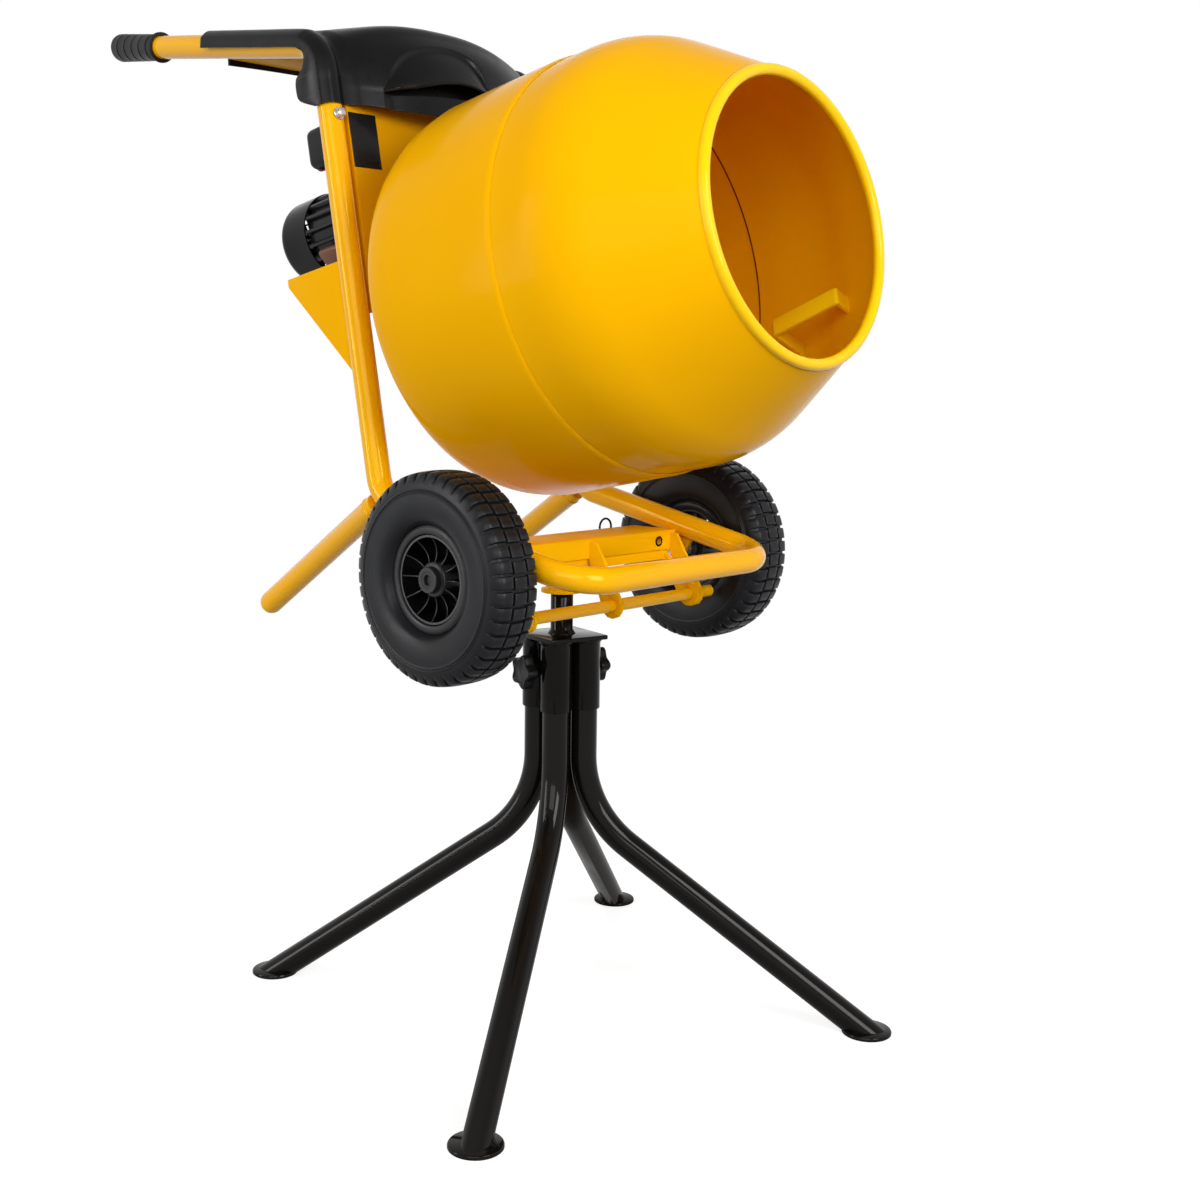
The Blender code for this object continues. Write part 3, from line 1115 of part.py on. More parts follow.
def hood_surface():
    """Open surface of the hood: covers that follow the tubes and a scooped dome between them."""
    cover = TUBE_DIA / 2 + HOOD_ROOM + HOOD_WALL
    sides = hood_sides()
    middle = hood_middle(sides, cover)
    half = HOOD_HALF_WIDTH
    lateral = (1.0, 0.975, 0.92, 0.78, 0.62, 0.34)
    lateral = [-share for share in lateral] + [0] + list(reversed(lateral))
    bm = bmesh.new()
    rows = []
    for number, (((u, w), angle), (mu, mw)) in enumerate(zip(sides, middle)):
        out = Vector((math.cos(angle), math.sin(angle)))
        edge = Vector((u, w)) + out * cover
        skirt = Vector((u, w)) - out * (TUBE_DIA * 0.16 + HOOD_TAB * TAB_ROWS.get(number, 0))
        row = [bm.verts.new((skirt.x, -half, skirt.y))]
        for share in lateral:
            turn = max(0, (abs(share) - 0.92) / 0.08)
            blend = max(0, 1 - (abs(share) / HOOD_ARC) ** 2.5)
            spot = (edge - out * 0.012 * turn ** 2).lerp(Vector((mu, mw)), blend)
            dip = HOOD_SCOOP * max(0, 1 - (share / 0.72) ** 2) * SCOOP_ROWS.get(number, 0)
            row.append(bm.verts.new((spot.x - dip, share * half, spot.y)))
        row.append(bm.verts.new((skirt.x, half, skirt.y)))
        rows.append(row)
    out = Vector((math.cos(sides[0][1]), 0, math.sin(sides[0][1])))
    edge = [vert for vert in rows[0] if abs(vert.co.y) < HOOD_ARC * half]
    lip = [bm.verts.new(vert.co - out * HOOD_LIP) for vert in edge]
    for j in range(len(lip) - 1):
        bm.faces.new((lip[j], edge[j], edge[j + 1], lip[j + 1]))
    slot = len(rows) - 3
    for i, (one, two) in enumerate(zip(rows, rows[1:])):
        for j in range(len(one) - 1):
            if i == slot and 5 <= j <= 8:
                continue
            bm.faces.new((one[j], two[j], two[j + 1], one[j + 1]))
    bmesh.ops.recalc_face_normals(bm, faces=bm.faces)
    roof = max(bm.faces, key=lambda f: f.calc_center_median().z)
    if roof.normal.z < 0:
        bmesh.ops.reverse_faces(bm, faces=bm.faces)
    return bm


def centre_on_origin(root):
    """Move the part so that the middle of its footprint is the world origin."""
    bpy.context.view_layer.update()
    shown = [o for o in bpy.data.objects if o.type == "MESH" and not o.hide_render]
    graph = bpy.context.evaluated_depsgraph_get()
    corners = []
    for obj in shown:
        mesh = obj.evaluated_get(graph).to_mesh()
        corners += [obj.matrix_world @ v.co for v in mesh.vertices]
    for axis in (0, 1):
        values = [c[axis] for c in corners]
        root.location[axis] = -(min(values) + max(values)) / 2
    root.location[2] = -min(c[2] for c in corners)
    bpy.context.view_layer.update()


def main():
    """Build every piece of the mixer."""
    clear_scene()
    root = axes("part_origin", None)
    build_stand(root)
    saddle = build_saddle(root)
    tilt = build_frame(saddle)
    mixer = axes("mixer_axes", tilt, (AXIS_X, 0, AXIS_Z), (0, -DRUM_TILT, 0))
    build_drum(mixer)
    build_drive(mixer)
    build_covers(mixer)
    centre_on_origin(root)


if __name__ == "__main__":
    main()
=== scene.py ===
"""Studio scene of a tip-up concrete mixer, dressed round its fixed solids."""

import json
import logging
import math
from dataclasses import dataclass, replace
from enum import Enum
from typing import Callable, Sequence

import bmesh
import bpy
from mathutils import Matrix, Vector


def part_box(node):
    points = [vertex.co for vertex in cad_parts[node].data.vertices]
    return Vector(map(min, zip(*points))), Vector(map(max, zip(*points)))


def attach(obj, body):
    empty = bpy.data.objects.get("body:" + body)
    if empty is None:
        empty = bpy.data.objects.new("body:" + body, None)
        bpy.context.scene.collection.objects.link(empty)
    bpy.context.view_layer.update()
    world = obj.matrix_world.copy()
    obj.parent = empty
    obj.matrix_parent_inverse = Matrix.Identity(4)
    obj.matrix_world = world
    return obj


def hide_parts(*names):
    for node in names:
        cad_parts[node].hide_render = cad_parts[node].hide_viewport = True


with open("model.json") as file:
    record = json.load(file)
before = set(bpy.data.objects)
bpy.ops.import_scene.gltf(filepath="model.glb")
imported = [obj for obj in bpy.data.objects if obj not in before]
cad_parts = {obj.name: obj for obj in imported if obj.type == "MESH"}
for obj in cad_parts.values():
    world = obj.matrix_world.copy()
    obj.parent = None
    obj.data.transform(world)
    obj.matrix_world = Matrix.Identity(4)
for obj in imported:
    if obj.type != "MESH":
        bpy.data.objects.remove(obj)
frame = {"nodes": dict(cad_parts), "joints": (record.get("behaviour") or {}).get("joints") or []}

LOG = logging.getLogger("mixer")
TAU = math.tau
MERGE = 4e-6
COPY_MERGE = 2e-5
Point = tuple[float, float]
Place = tuple[float, float, float]
Profile = Sequence[Point]
Piece = bpy.types.Object
Socket = bpy.types.NodeSocket
Tree = bpy.types.NodeTree


class Slot(Enum):
    """Material slots of the record."""

    YELLOW = "yellow_paint"
    INNER = "inner_paint"
    GLOSS_BLACK = "gloss_black_paint"
    MOULDED = "moulded_black"
    RUBBER = "rubber_black"
    TYRE = "tyre_black"
    STEEL = "plated_steel"
    CASTING = "dark_casting"
    MOTOR = "motor_black"
    AMBER = "amber_plastic"
    GREEN = "green_button"
    RED = "red_button"


class Side(Enum):
    """The two sides of the machine, by the sign of Y."""

    RIGHT = -1
    LEFT = 1

    @property
    def word(self) -> str:
        """Name of the side as the nodes spell it."""
        return self.name.lower()


@dataclass(frozen=True)
class Axes:
    """Axes that a piece is laid out in: u along, v across, w up."""

    origin: Vector
    u: Vector
    v: Vector
    w: Vector

    def at(self, u: float, v: float = 0.0, w: float = 0.0) -> Vector:
        """Place given in these axes, in the frame's axes."""
        return self.origin + self.u * u + self.v * v + self.w * w

    def moved(self, u: float, v: float = 0.0, w: float = 0.0) -> "Axes":
        """The same axes with their origin at another place."""
        return Axes(self.at(u, v, w), self.u, self.v, self.w)

    def turned(self, angle: float) -> "Axes":
        """The same axes turned about u by an angle in radians."""
        turn = Matrix.Rotation(angle, 3, self.u)
        return Axes(self.origin, self.u, turn @ self.v, turn @ self.w)


def joint_axes(name: str, across: Vector) -> Axes:
    """Axes on a joint of the frame.

    Args:
        name: joint in the record.
        across: direction that v follows.

    Returns:
        Axes with u along the joint's axis.
    """
    joint = next(j for j in frame["joints"] if j["name"] == name)
    u = Vector(joint["axis"]).normalized()
    v = (across - u * across.dot(u)).normalized()
    return Axes(Vector(joint["pos_m"]), u, v, u.cross(v))


X, Y, Z = Vector((1, 0, 0)), Vector((0, 1, 0)), Vector((0, 0, 1))
DRUM = joint_axes("drum_turn", Y)
PIVOT = Axes(joint_axes("tip", X).origin, X, Y, Z)
ROTOR = joint_axes("rotor_turn", Y)


# Modelling

def deselect() -> None:
    """Deselect every object."""
    bpy.ops.object.select_all(action="DESELECT")


def select_only(obj: Piece) -> None:
    """Make one object the selected and active one.

    Args:
        obj: object to select.
    """
    deselect()
    obj.select_set(True)
    bpy.context.view_layer.objects.active = obj


def edit_all() -> None:
    """Go into edit mode with the whole mesh selected."""
    bpy.ops.object.mode_set(mode="EDIT")
    bpy.ops.mesh.select_all(action="SELECT")


def full_turn(steps: int) -> list[float]:
    """Even angles once round, without the end that meets the start."""
    return [TAU * i / steps for i in range(steps)]


def quarter(steps: int) -> list[float]:
    """Even angles from 0 to a right angle, with both ends."""
    return [math.pi / 2 * i / steps for i in range(steps + 1)]


def mirrored(profile: Profile) -> list[Point]:
    """A profile's mirror image along its axis, run the other way."""
    return [(-along, radius) for along, radius in reversed(profile)]


def named(name: str) -> Piece:
    """Name the active object and its mesh.

    Args:
        name: the name.

    Returns:
        The active object.
    """
    obj = bpy.context.object
    obj.name = obj.data.name = name
    return obj


def shift(step: Vector) -> None:
    """Extrude what is selected in edit mode along a step."""
    bpy.ops.mesh.extrude_region_move(TRANSFORM_OT_translate={"value": tuple(step)})


def begin(name: str, place: Vector) -> Piece:
    """Start a mesh as one selected point, left in edit mode.

    Args:
        name: name of the piece.
        place: where the point lies.

    Returns:
        The object, at the origin.
    """
    deselect()
    bpy.ops.mesh.primitive_plane_add(size=0.001)
    obj = named(name)
    bpy.ops.object.mode_set(mode="EDIT")
    bpy.ops.mesh.select_mode(type="VERT")
    bpy.ops.mesh.select_all(action="SELECT")
    bpy.ops.mesh.merge(type="CENTER")
    bpy.ops.transform.translate(value=tuple(place))
    return obj


def trace(points: Sequence[Vector]) -> None:
    """Draw a line from the selected point through the others."""
    for here, there in zip(points, points[1:]):
        shift(there - here)


def close_up(fill: bool = False) -> None:
    """Merge doubles, turn faces out and leave edit mode.

    Args:
        fill: whether holes are filled first.
    """
    bpy.ops.mesh.select_all(action="SELECT")
    bpy.ops.mesh.remove_doubles(threshold=MERGE)
    if fill:
        bpy.ops.mesh.fill_holes(sides=0)
        bpy.ops.mesh.select_all(action="SELECT")
    bpy.ops.mesh.normals_make_consistent(inside=False)
    bpy.ops.object.mode_set(mode="OBJECT")


def spin(axes: Axes, angle: float, steps: int, copies: bool = False) -> None:
    """Sweep or copy what is selected about u.

    Args:
        axes: axes whose u is turned about.
        angle: right-handed angle in radians.
        steps: steps of the sweep.
        copies: copies in place of a sweep.
    """
    bpy.ops.mesh.spin(steps=steps, dupli=copies, angle=-angle, center=tuple(axes.origin),
                      axis=tuple(axes.u))


def turned(name: str, axes: Axes, profile: Profile, steps: int = 96, closed: bool = False) -> Piece:
    """Turn an outline about the u axis.

    Args:
        name: name of the piece.
        axes: axes to turn in.
        profile: (along, radius) points.
        steps: steps round the axis.
        closed: whether the outline runs back to its start.

    Returns:
        The turned piece.
    """
    points = [axes.at(along, 0, radius) for along, radius in profile]
    obj = begin(name, points[0])
    trace(points + points[:1] if closed else points)
    bpy.ops.mesh.select_all(action="SELECT")
    spin(axes, TAU, steps)
    close_up()
    return obj


def bent_tube(name: str, corners: Sequence[Vector], radii: Sequence[float], diameter: float,
              sides: int = 40, steps: int = 14) -> Piece:
    """Run a round tube along straight lines and arcs, as a tube bender does.

    Args:
        name: name of the piece.
        corners: corners of the centre line.
        radii: bend radius at each inner corner.
        diameter: diameter of the tube.
        sides: sides of the round section.
        steps: steps of each bend.

    Returns:
        The closed tube.
    """
    away = (corners[1] - corners[0]).to_track_quat("Z", "Y").to_euler()
    deselect()
    bpy.ops.mesh.primitive_circle_add(vertices=sides, radius=diameter / 2, fill_type="NOTHING",
                                      location=corners[0], rotation=away)
    obj = named(name)
    bpy.ops.object.transform_apply()
    edit_all()
    here = corners[0]
    for before, corner, after, radius in zip(corners, corners[1:], corners[2:], radii):
        back, ahead = (before - corner).normalized(), (after - corner).normalized()
        half = back.angle(ahead) / 2
        first = corner + back * radius / math.tan(half)
        last = corner + ahead * radius / math.tan(half)
        centre = corner + (back + ahead).normalized() * radius / math.sin(half)
        shift(first - here)
        about = (first - centre).cross(last - centre).normalized()
        spin(Axes(centre, about, Y, Z), math.pi - 2 * half, steps)
        here = last
    shift(corners[-1] - here)
    close_up(fill=True)
    return obj


def plate(name: str, outline: Sequence[Vector], depth: Vector) -> Piece:
    """Draw a flat outline, fill it and give it a thickness.

    Args:
        name: name of the piece.
        outline: corners in order.
        depth: the extrusion.

    Returns:
        The closed plate.
    """
    obj = begin(name, outline[0])
    trace(list(outline) + [outline[0]])
    bpy.ops.mesh.select_all(action="SELECT")
    bpy.ops.mesh.remove_doubles(threshold=MERGE)
    bpy.ops.mesh.select_all(action="SELECT")
    bpy.ops.mesh.edge_face_add()
    shift(depth)
    close_up()
    return obj


def block(name: str, axes: Axes, low: Sequence[float], high: Sequence[float]) -> Piece:
    """A box between two corners given in some axes.

    Args:
        name: name of the piece.
        axes: axes of the corners.
        low: lowest corner.
        high: highest corner.

    Returns:
        The box.
    """
    middle = axes.at(*[(a + b) / 2 for a, b in zip(low, high)])
    turn = Matrix((axes.u, axes.v, axes.w)).transposed().to_euler()
    deselect()
    bpy.ops.mesh.primitive_cube_add(size=1, location=middle, rotation=turn,
                                    scale=[b - a for a, b in zip(low, high)])
    obj = named(name)
    bpy.ops.object.transform_apply()
    return obj


def sheet(name: str, rows: Sequence[Sequence[Vector]]) -> Piece:
    """Lay a grid of faces over rows of places, left in edit mode.

    Args:
        name: name of the piece.
        rows: places, as many in each row.

    Returns:
        The object in edit mode.
    """
    deselect()
    bpy.ops.mesh.primitive_grid_add(x_subdivisions=len(rows[0]) - 1, y_subdivisions=len(rows) - 1, size=1)
    obj = named(name)
    places = [place for row in rows for place in row]
    for vertex, place in zip(obj.data.vertices, places):
        vertex.co = place
    bpy.ops.object.mode_set(mode="EDIT")
    return obj


def pick_faces(obj: Piece, test: Callable[[bmesh.types.BMFace], bool]) -> int:
    """Select the faces of a mesh in edit mode that pass a test.

    Args:
        obj: object in edit mode.
        test: what a face must pass.

    Returns:
        How many faces are selected.
    """
    bpy.ops.mesh.select_mode(type="FACE")
    bm = bmesh.from_edit_mesh(obj.data)
    count = 0
    for face in bm.faces:
        face.select_set(test(face))
        count += face.select
    bm.select_flush_mode()
    bmesh.update_edit_mesh(obj.data)
    return count


def apply(obj: Piece, kind: str, **settings: object) -> None:
    """Add a modifier with its settings and apply it.

    Args:
        obj: object to change.
        kind: modifier type.
        settings: attributes of the modifier.
    """
    select_only(obj)
    step = obj.modifiers.new(kind.lower(), kind)
    for key, value in settings.items():
        setattr(step, key, value)
    bpy.ops.object.modifier_apply(modifier=step.name)


def smooth(obj: Piece, degrees: float = 35) -> Piece:
    """Shade an object smooth.

    Args:
        obj: object to shade.
        degrees: edges past this angle stay sharp.

    Returns:
        The same object.
    """
    select_only(obj)
    bpy.ops.object.shade_smooth_by_angle(angle=math.radians(degrees))
    return obj


def soften(obj: Piece, width: float, segments: int = 3, degrees: float = 35) -> Piece:
    """Round the sharp edges of an object and shade it.

    Args:
        obj: object to round.
        width: width of the rounding.
        segments: steps of the rounding.
        degrees: edges sharper than this are rounded.

    Returns:
        The same object.
    """
    apply(obj, "BEVEL", width=width, segments=segments, limit_method="ANGLE",
          angle_limit=math.radians(degrees), use_clamp_overlap=True)
    return smooth(obj, degrees)


def carve(obj: Piece, tool: Piece) -> Piece:
    """Cut an object with another, which is then removed.

    Args:
        obj: object that stays.
        tool: object that is used up.

    Returns:
        The first object.
    """
    apply(obj, "BOOLEAN", operation="DIFFERENCE", solver="EXACT", object=tool)
    bpy.data.objects.remove(tool)
    return obj


def join(pieces: Sequence[Piece]) -> Piece:
    """Put several meshes into one object.

    Args:
        pieces: objects to join.

    Returns:
        The first one, which holds them all.
    """
    deselect()
    for obj in pieces:
        obj.select_set(True)
    bpy.context.view_layer.objects.active = pieces[0]
    bpy.ops.object.join()
    return pieces[0]


def copy_of(node: str, name: str) -> Piece:
    """A merged copy of a CAD node with its flat triangles joined into faces.

    Args:
        node: CAD node.
        name: name of the copy.

    Returns:
        The copy, with a mesh of its own.
    """
    obj = bpy.data.objects.new(name, frame["nodes"][node].data.copy())
    bpy.context.scene.collection.objects.link(obj)
    obj.data.materials.clear()
    select_only(obj)
    edit_all()
    bpy.ops.mesh.remove_doubles(threshold=COPY_MERGE)
    bpy.ops.mesh.dissolve_limited(angle_limit=math.radians(1.0))
    bpy.ops.object.mode_set(mode="OBJECT")
    return obj


def curve_through(points: Sequence[Sequence[float]], steps: int) -> list[tuple[float, ...]]:
    """Points of a smooth curve through the given ones.

    Args:
        points: points of any dimension.
        steps: steps between each two points.

    Returns:
        The finer list, with both ends kept.
    """
    ends = [points[0], *points, points[-1]]
    fine = []
    for a, b, c, d in zip(ends, ends[1:], ends[2:], ends[3:]):
        for i in range(steps):
            t = i / steps
            fine.append(tuple(0.5 * (2 * q + (r - p) * t + (2 * p - 5 * q + 4 * r - s) * t * t
                                     + (3 * q - p - 3 * r + s) * t ** 3)
                              for p, q, r, s in zip(a, b, c, d)))
    return fine + [tuple(points[-1])]


def arc(centre: Point, radius: float, start: float, end: float, steps: int) -> list[Point]:
    """Points of an arc in a plane, angles in degrees."""
    span = [math.radians(start + (end - start) * i / steps) for i in range(steps + 1)]
    return [(centre[0] + radius * math.cos(a), centre[1] + radius * math.sin(a)) for a in span]


# Finishes

def add_node(tree: Tree, kind: str, feeds: dict[str | int, object], **settings: object) -> bpy.types.Node:
    """Add a shader node, set it up and feed its inputs.

    Args:
        tree: node tree.
        kind: node type without its first two words.
        feeds: input name or number to a socket or a plain value.
        settings: attributes of the node, set before its inputs.

    Returns:
        The node.
    """
    node = tree.nodes.new("ShaderNode" + kind)
    for key, value in settings.items():
        setattr(node, key, value)
    for key, value in feeds.items():
        if isinstance(value, Socket):
            tree.links.new(value, node.inputs[key])
        else:
            node.inputs[key].default_value = value
    return node


class Effects:
    """Node groups that several finishes share, each built once."""

    @staticmethod
    def open(name: str, inputs: dict[str, tuple[str, object]],
             outputs: dict[str, str]) -> tuple[Tree, bpy.types.Node, bpy.types.Node]:
        """Start a shader group with its sockets.

        Args:
            name: name of the group.
            inputs: socket name to (type, default).
            outputs: socket name to type.

        Returns:
            The group, its input node and its output node.
        """
        group = bpy.data.node_groups.new(name, "ShaderNodeTree")
        for socket, (kind, value) in inputs.items():
            made = group.interface.new_socket(socket, in_out="INPUT", socket_type="NodeSocket" + kind)
            made.default_value = value
        for socket, kind in outputs.items():
            group.interface.new_socket(socket, in_out="OUTPUT", socket_type="NodeSocket" + kind)
        return group, group.nodes.new("NodeGroupInput"), group.nodes.new("NodeGroupOutput")

    @staticmethod
    def noise(group: Tree, scale: Socket, detail: float, rough: float = 0.55) -> Socket:
        """Noise on object coordinates with its scale from a socket.

        Args:
            group: node tree.
            scale: socket that gives the scale.
            detail: octaves.
            rough: roughness of the octaves.

        Returns:
            The factor output.
        """
        place = add_node(group, "TexCoord", {})
        cloud = add_node(group, "TexNoise", {"Vector": place.outputs["Object"], "Scale": scale,
                                             "Detail": detail, "Roughness": rough})
        return cloud.outputs["Fac"]

    @staticmethod
    def span(group: Tree, value: Socket, low: float, high: float, start: float | Socket = 0.0,
             end: float | Socket = 1.0) -> Socket:
        """Map a value from one span to another.

        Args:
            group: node tree.
            value: socket to map.
            low: start of the input span.
            high: end of the input span.
            start: start of the output span, a number or a socket.
            end: end of the output span, a number or a socket.

        Returns:
            The mapped output.
        """
        node = add_node(group, "MapRange", {"Value": value, "From Min": low, "From Max": high,
                                            "To Min": start, "To Max": end}, interpolation_type="SMOOTHSTEP")
        return node.outputs["Result"]

    @staticmethod
    def blend(group: Tree, factor: Socket, one: Socket, two: Socket) -> Socket:
        """Mix two colours by a factor."""
        node = add_node(group, "Mix", {0: factor, 6: one, 7: two}, data_type="RGBA")
        return node.outputs[2]

    @classmethod
    def mottle(cls) -> Tree:
        """Slow drift between two tones of a colour, with a lighter tone along sharp edges: a painted
        highlight.

        Returns:
            The group.
        """
        group, source, sink = cls.open(
            "tone_drift",
            {"Tone": ("Color", (1, 1, 1, 1)), "Shade": ("Color", (1, 1, 1, 1)),
             "Scale": ("Float", 6.0), "Edge Tone": ("Color", (1, 1, 1, 1)), "Edge Share": ("Float", 0.2)},
            {"Colour": "Color"})
        drift = cls.span(group, cls.noise(group, source.outputs["Scale"], 3), 0.32, 0.68)
        tone = cls.blend(group, drift, source.outputs["Tone"], source.outputs["Shade"])
        # Sharp edges, found by pointiness, go over to the lighter edge tone: a painted highlight.
        shape = add_node(group, "NewGeometry", {})
        edge = cls.span(group, shape.outputs["Pointiness"], 0.53, 0.62, 0.0, source.outputs["Edge Share"])
        group.links.new(cls.blend(group, edge, tone, source.outputs["Edge Tone"]), sink.inputs["Colour"])
        return group

    @classmethod
    def sheen(cls) -> Tree:
        """Roughness that wanders between two values, as handled or sprayed surfaces do.

        Returns:
            The group.
        """
        group, source, sink = cls.open(
            "gloss_drift", {"Low": ("Float", 0.2), "High": ("Float", 0.3), "Scale": ("Float", 20.0)},
            {"Roughness": "Float"})
        drift = cls.span(group, cls.noise(group, source.outputs["Scale"], 4), 0.3, 0.7,
                         source.outputs["Low"], source.outputs["High"])
        group.links.new(drift, sink.inputs["Roughness"])
        return group

    @classmethod
    def grain(cls) -> Tree:
        """Fine relief: a cloudy part and a pebbled part.

        Returns:
            The group.
        """
        group, source, sink = cls.open(
            "fine_relief", {"Scale": ("Float", 400.0), "Pebble": ("Float", 0.5)}, {"Height": "Float"})
        scale = source.outputs["Scale"]
        cloud = cls.noise(group, scale, 2)
        place = add_node(group, "TexCoord", {})
        cells = add_node(group, "TexVoronoi", {"Vector": place.outputs["Object"], "Scale": scale})
        mix = add_node(group, "Mix", {0: source.outputs["Pebble"], 2: cloud, 3: cells.outputs["Distance"]})
        group.links.new(mix.outputs[0], sink.inputs["Height"])
        return group

    @classmethod
    def build(cls) -> dict[str, Tree]:
        """Build all groups once."""
        return {"colour": cls.mottle(), "gloss": cls.sheen(), "relief": cls.grain()}


EFFECTS = Effects.build()


@dataclass(frozen=True)
class Finish:
    """A surface finish as one procedural material."""

    name: str
    slot: Slot
    tone: Place
    shade: Place
    # edge: lighter tone along sharp edges, a painted highlight
    edge: Place
    gloss: Point
    relief_scale: float
    relief: float
    pebble: float = 0.3
    edge_highlight_share: float = 0.25
    drift: float = 7.0
    metallic: float = 0.0
    coat: float = 0.0
    coat_gloss: float = 0.06
    specular: float = 0.5
    tint: Place = (1.0, 1.0, 1.0)
    bump_depth: float = 0.3

    def material(self) -> bpy.types.Material:
        """The finish's material, built on first use.

        Returns:
            A material with shared effect groups and one Principled shader.
        """
        found = bpy.data.materials.get(self.name)
        if found:
            return found
        mat = bpy.data.materials.new(self.name)
        mat.use_nodes = True
        tree = mat.node_tree
        shader = tree.nodes["Principled BSDF"]
        for socket, value in (("Metallic", self.metallic), ("Coat Weight", self.coat),
                              ("Coat Roughness", self.coat_gloss), ("Specular IOR Level", self.specular),
                              ("Specular Tint", (*self.tint, 1))):
            shader.inputs[socket].default_value = value
        colour = add_node(tree, "Group", {"Tone": (*self.tone, 1), "Shade": (*self.shade, 1),
                                          "Scale": self.drift, "Edge Tone": (*self.edge, 1),
                                          "Edge Share": self.edge_highlight_share}, node_tree=EFFECTS["colour"])
        tree.links.new(colour.outputs["Colour"], shader.inputs["Base Color"])
        gloss = add_node(tree, "Group", {"Low": self.gloss[0], "High": self.gloss[1],
                                         "Scale": self.drift * 4}, node_tree=EFFECTS["gloss"])
        tree.links.new(gloss.outputs["Roughness"], shader.inputs["Roughness"])
        relief = add_node(tree, "Group", {"Scale": self.relief_scale, "Pebble": self.pebble},
                          node_tree=EFFECTS["relief"])
        bump = add_node(tree, "Bump", {"Strength": self.relief, "Height": relief.outputs["Height"],
                                       "Distance": self.bump_depth / self.relief_scale})
        tree.links.new(bump.outputs["Normal"], shader.inputs["Normal"])
        return mat


YELLOW = Finish("yellow_enamel", Slot.YELLOW, (0.95, 0.460, 0.001), (0.91, 0.435, 0.001), (1.0, 0.56, 0.005),
                (0.13, 0.19), 420, 0.03, edge_highlight_share=0.3, drift=3, specular=0.024, tint=(1.0, 0.80, 0.40))
# The inside's enamel is a lighter copy of the outside's: painted light in the drum's shaded inside.
INNER = Finish("drum_lining", Slot.INNER, (0.98, 0.53, 0.002), (0.95, 0.50, 0.002), (1.0, 0.58, 0.01),
               (0.28, 0.38), 300, 0.05, drift=5, specular=0.03, tint=(1.0, 0.80, 0.40))
TUBE = replace(YELLOW, name="tube_enamel", gloss=(0.10, 0.14), relief=0.006, specular=0.34,
               tint=(1.0, 0.82, 0.26))
# Lighter copy of the yellow enamel for the mouth ring: painted light on the ring.
PAINTED_LIGHT_BEAD = replace(YELLOW, name="bead_enamel", tone=(1.0, 0.60, 0.002), shade=(0.97, 0.56, 0.002),
               gloss=(0.09, 0.14), specular=0.22, tint=(1.0, 0.9, 0.6))
DULL = replace(YELLOW, name="sheet_enamel", gloss=(0.34, 0.44), specular=0.004)
# Darker copy of the yellow enamel: painted shade for the front plate under the hood and drum.
PAINTED_SHADE_ENAMEL = replace(YELLOW, name="sheltered_enamel", tone=(0.72, 0.335, 0.001), shade=(0.64, 0.295, 0.001),
                    gloss=(0.20, 0.28), relief=0.06)
# Lighter copy of the inside enamel for the mixing bars: painted light where they catch the light through the
# mouth.
PAINTED_LIGHT_BAR = replace(INNER, name="bar_enamel", tone=(1.0, 0.66, 0.004), shade=(0.98, 0.62, 0.004))
# Dark brown strip for the seam inside the drum: painted shade at the lap.
SEAM_PAINTED_SHADE = Finish("seam_sealer", Slot.INNER, (0.10, 0.030, 0.001), (0.07, 0.022, 0.001), (0.16, 0.05, 0.002),
                (0.40, 0.50), 300, 0.05, specular=0.03)
GLOSS_BLACK = Finish("gloss_black_enamel", Slot.GLOSS_BLACK, (0.0042, 0.0032, 0.0028),
                     (0.0060, 0.0048, 0.0042), (0.03, 0.028, 0.026), (0.07, 0.11), 380, 0.006,
                     specular=0.14)
# Browner copy of the black enamel with its mirror turned down: a painted reflection for the rear leg.
PAINTED_REFLECTION_BLACK = replace(GLOSS_BLACK, name="rear_black_enamel", tone=(0.0075, 0.0052, 0.0036),
                     shade=(0.0090, 0.0064, 0.0048), specular=0.045, tint=(1.0, 0.80, 0.60))
MOULDED = Finish("satin_plastic", Slot.MOULDED, (0.0048, 0.0048, 0.0052), (0.0068, 0.0068, 0.0074),
                 (0.05, 0.05, 0.053), (0.24, 0.34), 900, 0.10, 0.7, 0.25, specular=0.14)
COVER = replace(MOULDED, name="cover_plastic", tone=(0.0032, 0.0031, 0.0031), shade=(0.0046, 0.0045, 0.0045),
                gloss=(0.13, 0.20), specular=0.12)
# The rim's light edge tone, spread over a wide share, paints the bright lines on the blades' edges.
RIM_BLACK = Finish("rim_plastic", Slot.MOULDED, (0.013, 0.013, 0.014), (0.018, 0.018, 0.019),
                   (0.14, 0.14, 0.145), (0.30, 0.40), 700, 0.08, 0.5, 0.6, specular=0.24)
# Darker black for the blade sides and the hoop's inside: painted shade between the blades.
RIM_PAINTED_SHADE = Finish("rim_web", Slot.MOULDED, (0.0016, 0.0016, 0.0017), (0.0024, 0.0024, 0.0025),
                   (0.01, 0.01, 0.01), (0.40, 0.50), 700, 0.08, specular=0.06)
RUBBER = Finish("grip_rubber", Slot.RUBBER, (0.008, 0.008, 0.0085), (0.012, 0.012, 0.0125),
                (0.06, 0.06, 0.06), (0.42, 0.54), 800, 0.2, 0.6, specular=0.2)
TYRE = Finish("tyre_rubber", Slot.TYRE, (0.0060, 0.0062, 0.0076), (0.0095, 0.0098, 0.0118),
              (0.07, 0.07, 0.078), (0.32, 0.42), 600, 0.14, 0.5, 0.4, specular=0.17)
STEEL = Finish("zinc_plate", Slot.STEEL, (0.60, 0.60, 0.62), (0.52, 0.51, 0.50), (0.75, 0.75, 0.77),
               (0.22, 0.36), 500, 0.08, metallic=1.0, drift=30)
